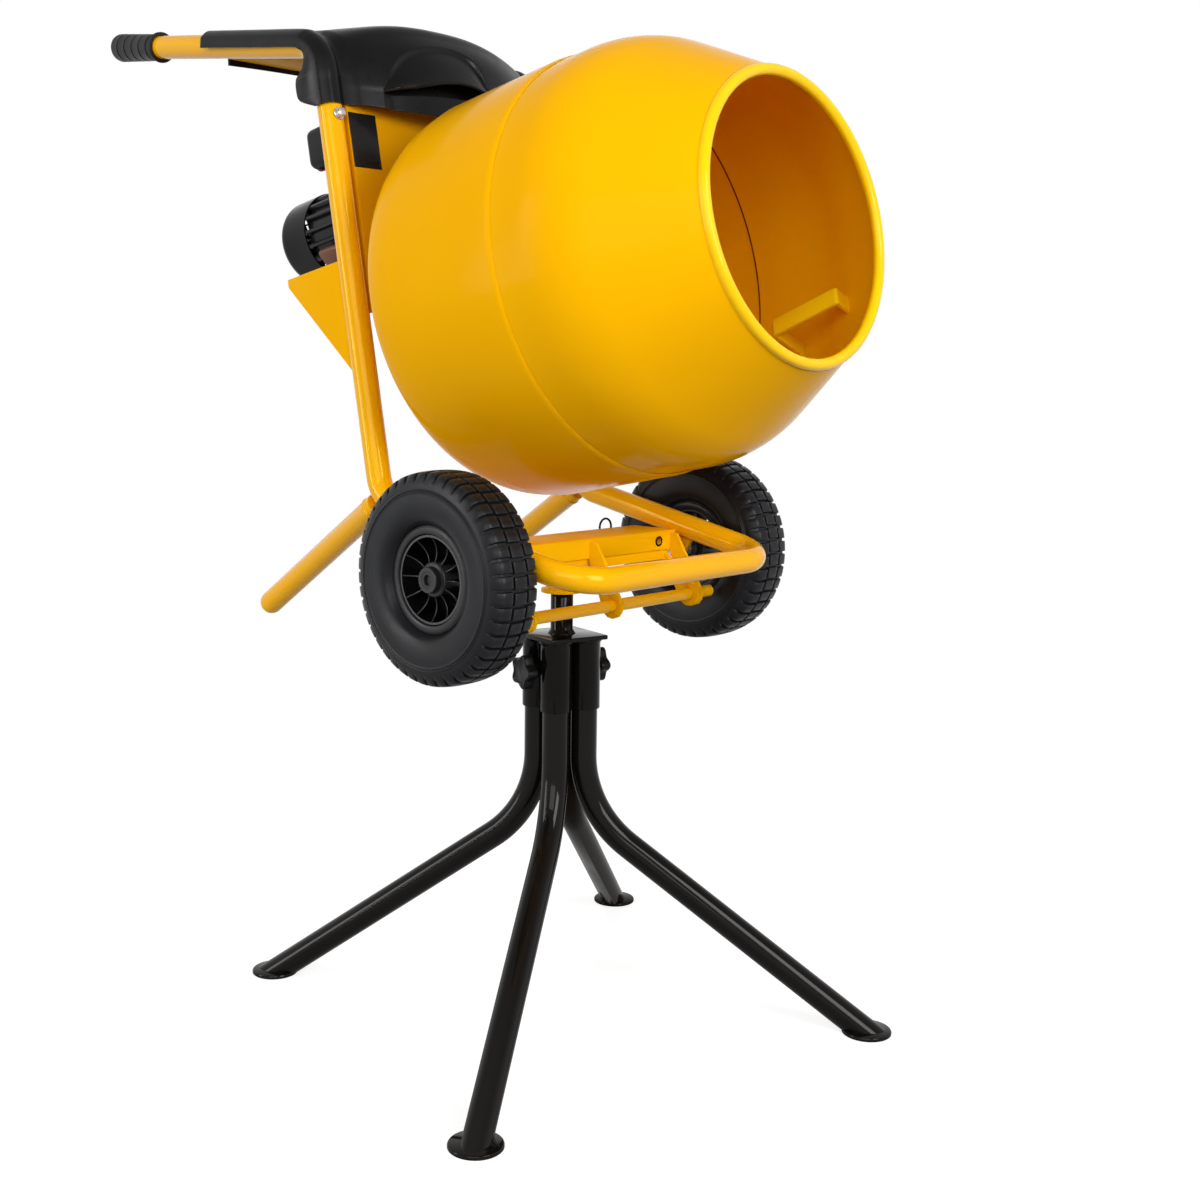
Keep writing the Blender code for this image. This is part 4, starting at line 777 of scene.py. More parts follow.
CASTING = Finish("dark_cast_iron", Slot.CASTING, (0.012, 0.012, 0.013), (0.018, 0.0175, 0.017),
                 (0.08, 0.08, 0.08), (0.38, 0.52), 260, 0.25, 0.4, 0.4, specular=0.25)
MOTOR = Finish("motor_enamel", Slot.MOTOR, (0.006, 0.006, 0.0068), (0.010, 0.010, 0.011), (0.05, 0.05, 0.05),
               (0.18, 0.26), 320, 0.08, coat=0.08, specular=0.15)
AMBER = Finish("amber_moulding", Slot.AMBER, (0.12, 0.034, 0.006), (0.09, 0.026, 0.005), (0.3, 0.12, 0.04),
               (0.36, 0.46), 500, 0.1)
GREEN = Finish("green_cap", Slot.GREEN, (0.012, 0.24, 0.05), (0.010, 0.20, 0.04), (0.05, 0.35, 0.1),
               (0.32, 0.40), 500, 0.06)
RED = Finish("red_cap", Slot.RED, (0.50, 0.014, 0.012), (0.44, 0.012, 0.010), (0.6, 0.06, 0.05),
             (0.32, 0.40), 500, 0.06)


def dress(obj: Piece, finish: Finish, body: str, *nodes: str) -> Piece:
    """Give a finished piece its material, its body and the nodes it stands for.

    Args:
        obj: finished piece.
        finish: its finish.
        body: CAD body it rides on.
        nodes: CAD nodes it replaces.

    Returns:
        The same object.
    """
    obj.data.materials.clear()
    obj.data.materials.append(finish.material())
    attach(obj, body)
    if nodes:
        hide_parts(*nodes)
    LOG.info("%s on %s: %d faces", obj.name, body, len(obj.data.polygons))
    return obj


def refined(node: str, name: str, edge: float, finish: Finish, body: str, segments: int = 2) -> Piece:
    """Dress a copy of a CAD node that has its edges rounded.

    Args:
        node: CAD node.
        name: name of the piece.
        edge: width of the rounding.
        finish: its finish.
        body: CAD body it rides on.
        segments: steps of the rounding.

    Returns:
        The dressed piece.
    """
    return dress(soften(copy_of(node, name), edge, segments, 40), finish, body, node)


def paint(obj: Piece, finish: Finish, test: Callable[[bpy.types.MeshPolygon], bool]) -> None:
    """Give the faces of a dressed piece that pass a test a further finish.

    Args:
        obj: dressed piece.
        finish: the further finish.
        test: what a face must pass.
    """
    obj.data.materials.append(finish.material())
    for face in obj.data.polygons:
        if test(face):
            face.material_index = len(obj.data.materials) - 1


# Stand

@dataclass
class Stand:
    """Welded head with four sockets, bent legs with foot discs, and two star knobs."""

    plate_side: float = 0.090
    plate_thick: float = 0.006
    spigot_dia: float = 0.030
    spigot_top: float = 0.1242
    weld: float = 0.004
    socket_dia: float = 0.0424
    socket_wall: float = 0.0027
    socket_length: float = 0.094
    socket_pitch: float = 0.045
    run: float = 0.0005
    leg_slope: float = math.radians(35.4)
    leg_bend: float = 0.150
    foot_circle: float = 0.420
    foot_dia: float = 0.0654
    foot_thick: float = 0.005
    knob_dia: float = 0.048
    knob_thick: float = 0.016
    knob_drop: float = 0.047
    lobes: int = 5
    lobe_share: float = 0.13
    boss_dia: float = 0.020
    boss_length: float = 0.010
    overrun: float = 0.040

    def __post_init__(self) -> None:
        """Lay out the head's axes from the left knob's joint."""
        knob = joint_axes("knob_left_turn", Z)
        along = knob.u.cross(Z).normalized()
        head = Vector((knob.origin.x, knob.origin.y, knob.origin.z + self.knob_drop))
        self.axes = Axes(head, along, knob.u, Z)
        self.upright = Axes(head, Z, along, knob.u)

    def boss_axes(self, side: Side) -> Axes:
        """Axes of a threaded boss, with u pointing out of the head."""
        return Axes(self.axes.at(0, 0, -self.knob_drop), self.axes.v * side.value, self.axes.u, Z)

    def boss_start(self) -> float:
        """Distance from the head's middle at which a boss meets two sockets."""
        p, ro = self.socket_pitch / 2, self.socket_dia / 2
        return p + math.sqrt(ro ** 2 - (p - self.boss_dia / 2) ** 2) - 0.001

    def build(self) -> None:
        """Model and dress the whole stand."""
        self.build_head()
        for number, name in enumerate(("front", "left", "rear", "right")):
            self.build_leg(name, math.radians(45 + 90 * (number - 1)))
        for side in Side:
            self.build_knob(side)

    def build_head(self) -> None:
        """Plate, spigot with its weld bead, sockets and threaded bosses."""
        half, t = self.plate_side / 2, self.plate_thick
        top = soften(block("stand_head_weldment", self.axes, (-half, -half, -t), (half, half, 0)), 0.0015)
        r, w = self.spigot_dia / 2, self.weld
        bead = [(-0.001, r + w)] + [(w * math.sin(a) * 1.5, r + w * (1 - math.sin(a))) for a in quarter(6)]
        end = [(self.spigot_top - 0.004, r), (self.spigot_top, r - 0.003), (self.spigot_top, 0)]
        spigot = turned("spigot", self.upright, [(-0.001, 0)] + bead + end, 48)
        parts = [top, smooth(spigot, 40)]
        ro, ri = self.socket_dia / 2, self.socket_dia / 2 - self.socket_wall
        p, low = self.socket_pitch / 2, -t - self.socket_length
        seam = [(-t + 0.0008, ro + 0.0026), (-t - 0.001, ro + 0.0024), (-t - 0.003, ro + 0.0006)]
        wall = [(-t + 0.0008, ri), *seam, (-t - 0.0045, ro), (low + 0.001, ro), (low, ro - 0.0008),
                (low, ri + 0.0006), (low + 0.0006, ri)]
        for x, y in ((-p, -p), (p, -p), (p, p), (-p, p)):
            centre = Axes(self.axes.at(x, y, 0), Z, self.axes.u, self.axes.v)
            parts.append(smooth(turned("socket", centre, wall, 56, closed=True), 40))
        b, reach = self.boss_dia / 2, self.boss_start()
        e = reach + self.boss_length
        rows = [(reach - 0.012, b), (e - 0.001, b), (e, b - 0.001), (e, 0.0045), (reach - 0.012, 0.0045)]
        for side in Side:
            parts.append(smooth(turned("boss", self.boss_axes(side), rows, 40, closed=True), 40))
        dress(join(parts), GLOSS_BLACK, "stand", "stand_head")

    def build_leg(self, name: str, angle: float) -> None:
        """One bent leg with its foot disc.

        Args:
            name: which leg, as in the node's name.
            angle: its direction round the head.
        """
        out = self.axes.u * math.cos(angle) + self.axes.v * math.sin(angle)
        base = Axes(Vector((self.axes.origin.x, self.axes.origin.y, 0)), out, Z.cross(out), Z)
        start = self.socket_pitch / 2 * math.sqrt(2)
        top = self.axes.origin.z - self.plate_thick - 0.0003
        slope = math.tan(self.leg_slope)
        corner = (self.foot_circle - start) * slope
        radius = self.socket_dia / 2 - self.socket_wall - self.run
        corners = [base.at(start, 0, top), base.at(start, 0, corner),
                   base.at(self.foot_circle + self.overrun, 0, -self.overrun * slope)]
        leg = bent_tube("leg_tube_" + name, corners, [self.leg_bend], radius * 2, 44, 22)
        edit_all()
        bpy.ops.mesh.bisect(plane_co=(0, 0, self.foot_thick - 0.001), plane_no=(0, 0, 1), use_fill=True,
                            clear_inner=True)
        close_up()
        smooth(leg, 40)
        r, t = self.foot_dia / 2, self.foot_thick
        middle = Axes(base.at(self.foot_circle), Z, base.u, base.v)
        edge = [(0, r - 0.0006), (0.0006, r), (t * 0.62, r), (t * 0.9, r - 0.0008), (t, r - 0.0022)]
        disc = turned("foot", middle, [(0, 0), *edge, (t, 0)], 64)
        # The rear leg's browner black is a painted reflection.
        finish = PAINTED_REFLECTION_BLACK if name == "rear" else GLOSS_BLACK
        dress(join([leg, smooth(disc, 40)]), finish, "stand", "stand_leg_" + name)

    def build_knob(self, side: Side) -> None:
        """A lobed hand knob with a dished cap and its stud.

        Args:
            side: side of the machine.
        """
        out = self.boss_axes(side)
        seat = self.boss_start() + self.boss_length + self.run
        outline = []
        for a in full_turn(self.lobes * 16):
            r = self.knob_dia / 2 * (1 - self.lobe_share + self.lobe_share * math.cos(self.lobes * a))
            outline.append(out.at(seat + 0.001, r * math.cos(a), r * math.sin(a)))
        knob = plate("clamp_knob_star_" + side.word, outline, out.u * (self.knob_thick - 0.001))
        soften(knob, 0.0022, 4, 40)
        bpy.ops.object.mode_set(mode="EDIT")
        face = out.at(seat + self.knob_thick)
        pick_faces(knob, lambda f: f.normal.dot(out.u) > 0.99
                   and (f.calc_center_median() - face).length < 0.01)
        bpy.ops.mesh.inset(thickness=0.0007, depth=0.0)
        bpy.ops.mesh.inset(thickness=0.0009, depth=-0.0014)
        bpy.ops.object.mode_set(mode="OBJECT")
        ring = [(seat, 0), (seat, 0.010), (seat + 0.004, 0.012), (seat + 0.004, 0)]
        collar = turned("collar", out, ring, 40)
        stud = turned("stud", out, [(seat - 0.0095, 0), (seat - 0.0095, 0.0036), (seat - 0.009, 0.004),
                                    (seat + 0.002, 0.004), (seat + 0.002, 0)], 24)
        dress(join([knob, smooth(collar), smooth(stud)]), MOULDED, "knob_" + side.word,
              "clamp_knob_" + side.word)


# Saddle and tipping frame

@dataclass
class Saddle:
    """Channel on the spigot with its sleeve, its lugs and the spring lock."""

    edge: float = 0.0009
    pin_edge: float = 0.0005
    ring_dia: float = 0.024
    ring_wire: float = 0.003

    def build(self) -> None:
        """Model and dress the saddle and the lock."""
        refined("saddle", "saddle_channel", self.edge, YELLOW, "saddle_body")
        refined("lock_pin", "lock_plunger", self.pin_edge, GLOSS_BLACK, "lock")
        low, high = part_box("lock_ring")
        centre = Axes((low + high) / 2, X, Y, Z)
        wire = [(self.ring_wire / 2 * math.sin(a), self.ring_dia / 2 + self.ring_wire / 2 * math.cos(a))
                for a in full_turn(16)]
        ring = turned("lock_pull_ring", centre, wire, 56, closed=True)
        dress(smooth(ring, 60), GLOSS_BLACK, "lock", "lock_ring")


@dataclass
class TubeFrame:
    """Bent main tube, rest feet, cross angle, pivot rod, axles and grips."""

    tube: float = 0.0325
    half: float = 0.190
    handle_half: float = 0.180
    rise: float = math.radians(18.1)
    drop: float = 0.2414
    top: float = 0.3545
    reach: float = 0.472
    front: Point = (0.113, 0.0575)
    bend: float = 0.050
    corner: float = 0.060
    foot_slope: float = math.radians(33.5)
    foot_length: float = 0.3016
    grip_length: float = 0.116
    rod_dia: float = 0.016
    plate_edge: float = 0.0009
    # Inner and outer radius of the black ring that paints shade round the lock hole.
    hole_shade_radii: Point = (0.0046, 0.0072)
    hole_shade_ahead: float = 0.006

    def corners(self) -> list[Vector]:
        """Corners of the main tube's centre line.

        Returns:
            The corners from the right handle to the left one.
        """
        end_w = self.top + self.reach * math.tan(self.rise)
        low = DRUM.at(0, 0, -self.drop)
        near = [DRUM.at(-self.reach, -self.handle_half, end_w), DRUM.at(0, -self.half, self.top),
                Vector((low.x, -self.half, low.z)), PIVOT.at(self.front[0], -self.half, self.front[1])]
        return near + [Vector((p.x, -p.y, p.z)) for p in reversed(near)]

    def build(self) -> None:
        """Model and dress the tipping frame's metalwork and grips."""
        radii = [self.bend, self.bend, self.corner, self.corner, self.bend, self.bend]
        main = bent_tube("main_tube", self.corners(), radii, self.tube, 44, 18)
        dress(smooth(main, 40), TUBE, "frame", "main_frame")
        refined("cross_angle", "cross_angle_weldment", self.plate_edge, DULL, "frame")
        self.build_rod()
        self.build_hole_shade()
        for side in Side:
            self.build_rest(side)
            self.build_axle(side)
            self.build_grip(side)

    def build_rest(self, side: Side) -> None:
        """One rest foot: a tube from the lower bend to a domed end, with a weld bead.

        Args:
            side: side of the machine.
        """
        low = DRUM.at(0, 0, -self.drop)
        run = Vector((-math.cos(self.foot_slope), 0, -math.sin(self.foot_slope)))
        start = Vector((low.x - self.tube * 0.10, side.value * self.half, low.z - self.tube * 0.06))
        axes = Axes(start, run, Y, run.cross(Y))
        r, n = self.tube / 2, self.foot_length - self.tube / 2
        dome = [(n + r * 0.89 * math.sin(a), r * (0.40 + 0.60 * math.cos(a))) for a in quarter(10)]
        bead = [(r * 1.02, r * 0.98), (r * 1.10, r * 1.06), (r * 1.22, r * 1.06), (r * 1.34, r)]
        rows = [(0.006, 0), (0.006, r * 0.98), *bead, *dome, (n + r * 0.89, 0)]
        rest = turned("rest_tube_" + side.word, axes, rows, 44)
        dress(smooth(rest, 40), TUBE, "frame", "rest_foot_" + side.word)

    def build_rod(self) -> None:
        """Pivot rod with chamfered ends."""
        r, y = self.rod_dia / 2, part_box("pivot_rod")[1].y
        axes = Axes(PIVOT.origin, Y, Z, X)
        ends = [(-y, 0), (-y, r - 0.0015), (-y + 0.0015, r)]
        rod = turned("pivot_bar", axes, ends + mirrored(ends), 48)
        dress(smooth(rod, 40), TUBE, "frame", "pivot_rod")

    def build_hole_shade(self) -> None:
        """Black ring round the hole that the lock pin enters: painted shade that darkens the hole."""
        low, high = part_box("lock_pin")
        middle = (low + high) / 2
        axes = Axes(Vector((high.x + self.hole_shade_ahead, middle.y, middle.z)), X, Y, Z)
        inner, outer = self.hole_shade_radii
        ring = [(-0.0005, inner), (0.0008, inner), (0.0012, inner + 0.0005), (0.0012, outer - 0.0006),
                (0.0008, outer - 0.0001), (0.0004, outer), (-0.0005, outer)]
        dress(smooth(turned("lock_eyelet", axes, ring, 40, closed=True), 40), GLOSS_BLACK, "frame")

    def build_axle(self, side: Side) -> None:
        """Bracket under the tube and the stub axle in it.

        Args:
            side: side of the machine.
        """
        word = side.word
        refined("axle_bracket_" + word, "axle_plate_" + word, self.plate_edge, YELLOW, "frame")
        stub = smooth(copy_of("stub_axle_" + word, "axle_stub_" + word), 40)
        dress(stub, STEEL, "frame", "stub_axle_" + word)

    def build_grip(self, side: Side) -> None:
        """Ribbed rubber sleeve with a collar and a closed end.

        Args:
            side: side of the machine.
        """
        corners = self.corners() if side is Side.RIGHT else self.corners()[::-1]
        away = (corners[0] - corners[1]).normalized()
        axes = Axes(corners[0] - away * (self.grip_length - 0.0043), away, Y, away.cross(Y))
        inner = (self.tube / 2 + 0.0003) / math.cos(math.pi / 12)
        wall, end = inner + 0.0014, inner + 0.0029
        floor = self.grip_length - 0.0042
        profile = [(floor, 0), (floor, inner), (0, inner), (0, wall + 0.0022), (0.0008, wall + 0.003),
                   (0.0036, wall + 0.003), (0.0048, wall + 0.0020), (0.007, wall)]
        first, last, ribs = 0.018, self.grip_length - 0.020, 5
        for i in range(ribs):
            at = first + (last - first) * i / (ribs - 1)
            swell = wall + (end - wall) * at / self.grip_length
            profile += [(at - 0.0028, swell), (at - 0.0016, swell - 0.0013), (at - 0.0005, swell - 0.0013),
                        (at, swell + 0.0002), (at + 0.0007, swell + 0.0002), (at + 0.0014, swell)]
        n = self.grip_length
        profile += [(n - 0.006, end), (n - 0.003, end - 0.0008), (n - 0.001, end - 0.0028), (n, end - 0.0055),
                    (n, 0.0065), (n - 0.001, 0.0058), (n - 0.003, 0.0058), (n - 0.003, 0)]
        grip = turned("grip_sleeve_" + side.word, axes, profile, 56)
        dress(smooth(grip, 30), RUBBER, "frame", "grip_" + side.word)


# Wheels

@dataclass
class Wheel:
    """Block-tread tyre, moulded rim and a spider with straight dished blades."""

    side: Side
    tyre_dia: float = 0.260
    tyre_width: float = 0.074
    rim_dia: float = 0.130
    rim_width: float = 0.052
    flange: float = 0.007
    rim_wall: float = 0.003
    hub_dia: float = 0.042
    hub_width: float = 0.058
    bore: float = 0.0095
    spokes: int = 12
    blade: float = 0.0018
    blade_span: Point = (0.0172, 0.0226)
    blade_back: float = -0.010
    dish: float = 0.0065
    pitches: int = 44
    groove_at: float = 0.0110
    cut: Place = (0.085, 0.125, 0.160)
    ring_cut: Place = (0.0011, 0.0016, 0.0021)
    cut_depth: float = 0.0038
    shoulder: tuple[float, ...] = (0.0165, 0.0200, 0.0235, 0.0265, 0.0290,
                                   0.0310, 0.0327, 0.0340, 0.0350)
    bead_lines: Point = (0.0400, 0.0432)
    bead_rise: float = 0.0009
    bead_half: float = 0.0011
    facets: int = 24

    def __post_init__(self) -> None:
        """Lay out the wheel's axes with u pointing away from the machine."""
        joint = joint_axes("wheel_" + self.side.word + "_turn", Z)
        out = Y * self.side.value
        self.axes = Axes(joint.origin, out, X, out.cross(X))
        self.body = "wheel_" + self.side.word

    def build(self) -> None:
        """Model and dress the wheel."""
        self.build_tyre()
        self.build_rim()
        self.build_spider()

    def crown(self, along: float) -> float:
        """Radius of the tyre's tread face at a place across it."""
        share = abs(along) / (self.tyre_width / 2)
        return self.tyre_dia / 2 - 0.0045 * share ** 2.6 - 0.012 * max(0.0, share - 0.70) ** 2 / 0.0625

    def section(self) -> list[Point]:
        """Outline of the tyre's outer half.

        Returns:
            Places from the crown's middle to the bead.
        """
        half, r, g = self.tyre_width / 2, self.rim_dia / 2, self.groove_at
        across = [0, g * 0.45, *(g - step for step in reversed(self.ring_cut)),
                  *(g + step for step in self.ring_cut), *self.shoulder]
        crown = [(a, self.crown(a)) for a in across]
        seat = self.rim_width / 2 - self.rim_wall - 0.0003
        wall = curve_through([crown[-1], (half - 0.0010, r + 0.0445), (half - 0.0001, r + 0.0370),
                              (half - 0.0002, r + 0.0250), (half - 0.0018, r + 0.0140),
                              (half - 0.0055, r + 0.0062), (seat, r + 0.0003)], 5)
        ringed = [(a + self.ring_line(radius - r), radius) for a, radius in wall[1:]]
        return crown + ringed + [(seat, r - self.flange + 0.0003)]

    def ring_line(self, height: float) -> float:
        """How far the raised lines stand out of the side wall at a height above the rim."""
        return sum(self.bead_rise * max(0.0, 1 - ((height - at) / self.bead_half) ** 2)
                   for at in self.bead_lines)

    def groove(self, phase: float, along: float) -> float:
        """Depth of the tread's grooves.

        Args:
            phase: place within the pitch, 0 in the middle of a cross groove.
            along: place across the tyre.

        Returns:
            Depth below the tread's face.
        """
        def wall(away: float, edges: Place) -> float:
            """Share of the depth at a distance from a groove's middle.

            Args:
                away: the distance.
                edges: where the floor, the lip and the top of its wall end.

            Returns:
                The share.
            """
            floor, lip, top = edges
            if away <= floor + 1e-6:
                return 1.0
            return 0.12 if away <= lip + 1e-6 and top > lip else 0.0
        across = wall(abs(phase), self.cut)
        fade = min(1.0, max(0.0, (0.0349 - abs(along)) / 0.0060))
        ringwise = wall(abs(abs(along) - self.groove_at), self.ring_cut)
        return self.cut_depth * max(across * fade * fade * (3 - 2 * fade), ringwise)

    def build_tyre(self) -> None:
        """One closed skin, grooved into shoulder lugs and a row of blocks between them."""
        outer = self.section()
        loop = mirrored(outer[1:]) + outer
        loop.append(loop[0])
        pitch = TAU / self.pitches
        phases = (*(-share for share in reversed(self.cut)), *self.cut, 0.50)
        rows = []
        for number in range(self.pitches):
            for phase in phases:
                row = []
                for a, radius in loop:
                    turn = pitch * (number + phase + (0.10 if abs(a) < self.groove_at else 0.0))
                    depth = self.groove(phase, a) if radius > self.tyre_dia / 2 * 0.85 else 0.0
                    lean = math.copysign(min(1.0, max(0.0, (abs(a) - 0.024) / 0.012)), a) * 0.8
                    reach = radius - depth * math.cos(lean)
                    across = a - depth * math.sin(lean)
                    row.append(self.axes.at(across, reach * math.sin(turn), reach * math.cos(turn)))
                rows.append(row)
        tyre = sheet("tyre_blocks_" + self.side.word, rows + rows[:1])
        close_up()
        dress(smooth(tyre, 38), TYRE, self.body, "tyre_" + self.side.word)

    def build_rim(self) -> None:
        """Dished rim with rounded flanges and an inner ledge."""
        r, h, t = self.rim_dia / 2, self.rim_width / 2, self.rim_wall
        well = r - self.flange
        inner = well - t
        lip = [(h - 0.0022, inner), (h - 0.0006, inner + 0.0008), (h, inner + 0.0024), (h, r - 0.0030),
               (h - 0.0006, r - 0.0012), (h - 0.0016, r), (h - t, r), (h - t, well)]
        rim = turned("rim_moulding_" + self.side.word, self.axes, lip + mirrored(lip), 96, closed=True)
        dress(smooth(rim, 40), RIM_BLACK, self.body, "rim_" + self.side.word)

    def build_spider(self) -> None:
        """Stepped hub with a closed bore, outer hoop and thin dished blades."""
        inner = self.rim_dia / 2 - self.flange - self.rim_wall
        outer = inner * math.cos(math.pi / self.facets) - 0.0003
        hub, w, h = self.hub_dia / 2, self.hub_width / 2, self.rim_width / 2 - 0.0026
        face = [(w - 0.0046, 0.0062), (w - 0.0012, 0.0062), (w - 0.0004, 0.0068), (w - 0.0004, 0.0095),
                (w, 0.0100), (w, hub - 0.0062), (w - 0.001, hub - 0.0052), (w - 0.009, hub - 0.0048),
                (w - 0.0095, hub - 0.0040), (w - 0.0095, hub - 0.0010), (w - 0.0105, hub), (0, hub)]
        bore = [(0.0046 - w, self.bore), (w - 0.0054, self.bore), (w - 0.0054, 0)]
        rows = [(w - 0.0046, 0), *face, *mirrored(face[:-1]), *bore]
        core = turned("wheel_fan_" + self.side.word, self.axes, rows, 72)
        edge = [(h, outer - 0.003), (h, outer - 0.0006), (h - 0.0006, outer)]
        hoop = turned("hoop", self.axes, edge + mirrored(edge), 96, closed=True)
        fan = join([smooth(core, 35), smooth(hoop, 35), self.blades(hub - 0.002, outer - 0.0020)])

        def in_painted_shade(polygon: bpy.types.MeshPolygon) -> bool:
            """Whether a face outside the hub looks along the wheel and not out of it.

            Args:
                polygon: the face.

            Returns:
                Whether it does.
            """
            spot = polygon.center - self.axes.origin
            away = math.hypot(spot.dot(self.axes.v), spot.dot(self.axes.w))
            return hub + 0.0005 < away and abs(polygon.normal.dot(self.axes.u)) < 0.35

        dress(fan, RIM_BLACK, self.body, "wheel_spider_" + self.side.word)
        # Faces that look across the wheel are painted darker: painted shade between the blades.
        paint(fan, RIM_PAINTED_SHADE, in_painted_shade)

    def blades(self, start: float, stop: float) -> Piece:
        """Radial blades with a dished front edge, copied round the hub.

        Args:
            start: inner radius.
            stop: outer radius.

        Returns:
            All the blades.
        """
        (near, far), outline = self.blade_span, [(self.blade_back, stop), (self.blade_back, start)]
        for t in [i / 14 for i in range(15)]:
            along = near + (far - near) * t - self.dish * 4 * t * (1 - t)
            outline.append((along, start + (stop - start) * t))
        obj = plate("blades", [self.axes.at(along, r, -self.blade / 2) for along, r in outline],
                    self.axes.w * self.blade)
        edit_all()
        spin(self.axes, TAU, self.spokes, copies=True)
        close_up()
        return soften(obj, 0.0004, 2, 40)


# Drum

@dataclass
class Drum:
    """Pressed bowl, front shell, rolled mouth, paddles, hub and shaft."""

    mouth: float = 0.5670
    mouth_radius: float = 0.1748
    rim_tube: float = 0.0138
    belly: float = 0.2605
    slope: float = math.radians(31.4)
    fillet: float = 0.160
    seam: float = 0.3285
    lap: float = 0.015
    bottom: float = 0.070
    flat: float = 0.120
    wall: float = 0.0025
    gap: float = 0.0003
    bore: float = 0.0133
    flat_end: float = 0.055
    bowl_turn: Profile = ((0, 0.080), (0.045, 0.045), (0.145, 0.021), (0.40, 0.005))
    fitting_edge: float = 0.0006
    seam_shade_width: float = 0.0020
    paddle_span: Point = (0.390, 0.490)
    paddle_radius: float = 0.185
    paddle_width: float = 0.024
    paddle_thick: float = 0.005
    paddle_bend: float = 0.005
    paddle_turn: float = math.radians(24.6)
    paddle_slant: float = math.radians(15)
    paddle_room: tuple[float, ...] = (0.03, 0.06, 0.09, 0.12, 0.15, 0.20)
    steps: int = 144

    def cone_end(self) -> float:
        """Distance behind the mouth where the rounded cone meets the belly."""
        start = self.mouth_radius - self.rim_tube / 2
        return (self.belly - start) / math.tan(self.slope) + self.fillet * math.tan(self.slope / 2)

    def radius(self, s: float) -> float:
        """Outer radius of the front shell.

        Args:
            s: distance behind the mouth.

        Returns:
            The radius there.
        """
        end = self.cone_end()
        if s >= end:
            return self.belly
        if s > end - self.fillet * math.sin(self.slope):
            return self.belly - self.fillet + math.sqrt(self.fillet ** 2 - (end - s) ** 2)
        return self.mouth_radius - self.rim_tube / 2 + s * math.tan(self.slope)

    def build(self) -> None:
        """Model and dress the drum."""
        self.build_shell()
        self.build_bowl()
        self.build_mouth()
        for name, turn in (("lower", -math.pi / 2), ("upper", math.pi / 2)):
            self.build_paddle(name, turn - self.paddle_turn)
        for node, finish in (("drum_hub", CASTING), ("drum_shaft", STEEL), ("drum_gear", CASTING)):
            refined(node, node + "_turned", self.fitting_edge, finish, "drum")

    def enamel_and_painted_light_inside(self, obj: Piece, node: str) -> None:
        """Give the outside of a wall the enamel and its inside the lighter inner finish, which paints light
        into the drum's shaded inside.

        Args:
            obj: turned wall.
            node: node that it replaces.
        """
        def inward(face: bpy.types.MeshPolygon) -> bool:
            """Whether a face looks into the drum.

            Args:
                face: the face.

            Returns:
                Whether it does.
            """
            out = face.center - DRUM.origin
            out -= DRUM.u * out.dot(DRUM.u)
            rise = face.normal.dot(DRUM.u)
            return rise > 0 if abs(rise) > 0.97 else face.normal.dot(out) < 0

        dress(obj, YELLOW, "drum", node)
        # Faces looking into the drum get the lighter inner finish: painted light.
        paint(obj, INNER, inward)

    def build_shell(self) -> None:
        """Front shell: cone, rounding and belly, with its lap under the bowl's lip."""
        turn = self.fillet * math.sin(self.slope)
        stations = [self.rim_tube * 0.5, 0.03, 0.06, 0.09]
        stations += [self.cone_end() - turn * (1 - i / 20) for i in range(21)]
        outer = [(self.mouth - s, self.radius(s)) for s in stations if s > 0]
        outer = sorted(outer, reverse=True) + [(self.seam - self.lap, self.belly)]
        inner = [(u, r - self.wall) for u, r in reversed(outer)]
        inner.insert(1, (self.seam - self.lap + 0.0022, self.belly - self.wall))
        shell = smooth(turned("drum_front", DRUM, outer + inner, self.steps, closed=True), 30)
        start = self.seam - self.lap

        def in_seam_shade(face: bpy.types.MeshPolygon) -> bool:
            """Whether a face of the inside lies in the strip of painted shade at the seam.

            Args:
                face: the face.

            Returns:
                Whether it does.
            """
            behind = (face.center - DRUM.origin).dot(DRUM.u) - start
            return face.material_index == 1 and behind < self.seam_shade_width

        self.enamel_and_painted_light_inside(shell, "drum_front_shell")
        # A thin dark strip inside at the lap is painted shade where the shell's edge meets the bowl.
        paint(shell, SEAM_PAINTED_SHADE, in_seam_shade)

    def build_bowl(self) -> None:
        """Pressed bowl with a rounded bottom and a beaded lip over the front shell."""
        wide = self.belly + self.gap + self.wall
        turn = wide - self.flat
        knots = [(self.bottom + drop, wide - turn * share) for share, drop in self.bowl_turn]
        knots += [(self.bottom, self.flat), (self.bottom, self.flat_end)]
        side = curve_through(knots, 6)
        side = side[:-6] + [knots[-2], knots[-1]]
        lip = [(self.seam, wide - self.wall), (self.seam, wide - 0.0022), (self.seam - 0.0012, wide - 0.0013),
               (self.seam - 0.0040, wide - 0.0003), (self.seam - 0.0090, wide), (self.seam - 0.06, wide)]
        outer = lip[1:] + side + [(self.bottom, self.bore)]
        inside = [(self.bottom + self.wall, self.bore), (self.bottom + self.wall, self.flat - 0.002)]
        for along, radius in reversed(side[:-1]):
            if radius > self.flat + 0.004:
                share = (wide - radius) / turn
                inside.append((along + self.wall * share, radius - self.wall * (1 - share * 0.6)))
        bowl = turned("drum_bowl_pressing", DRUM, outer + inside + lip[:1], self.steps, closed=True)
        self.enamel_and_painted_light_inside(smooth(bowl, 30), "drum_bowl")

    def build_mouth(self) -> None:
        """Rolled ring round the mouth."""
        half = self.rim_tube / 2
        u, r = self.mouth - half, self.mouth_radius - half
        rows = [(u + half * math.sin(a), r + half * math.cos(a)) for a in full_turn(20)]
        ring = turned("drum_mouth_roll", DRUM, rows, self.steps, closed=True)
        # The ring's lighter enamel is painted light.
        dress(smooth(ring, 60), PAINTED_LIGHT_BEAD, "drum", "drum_mouth_ring")

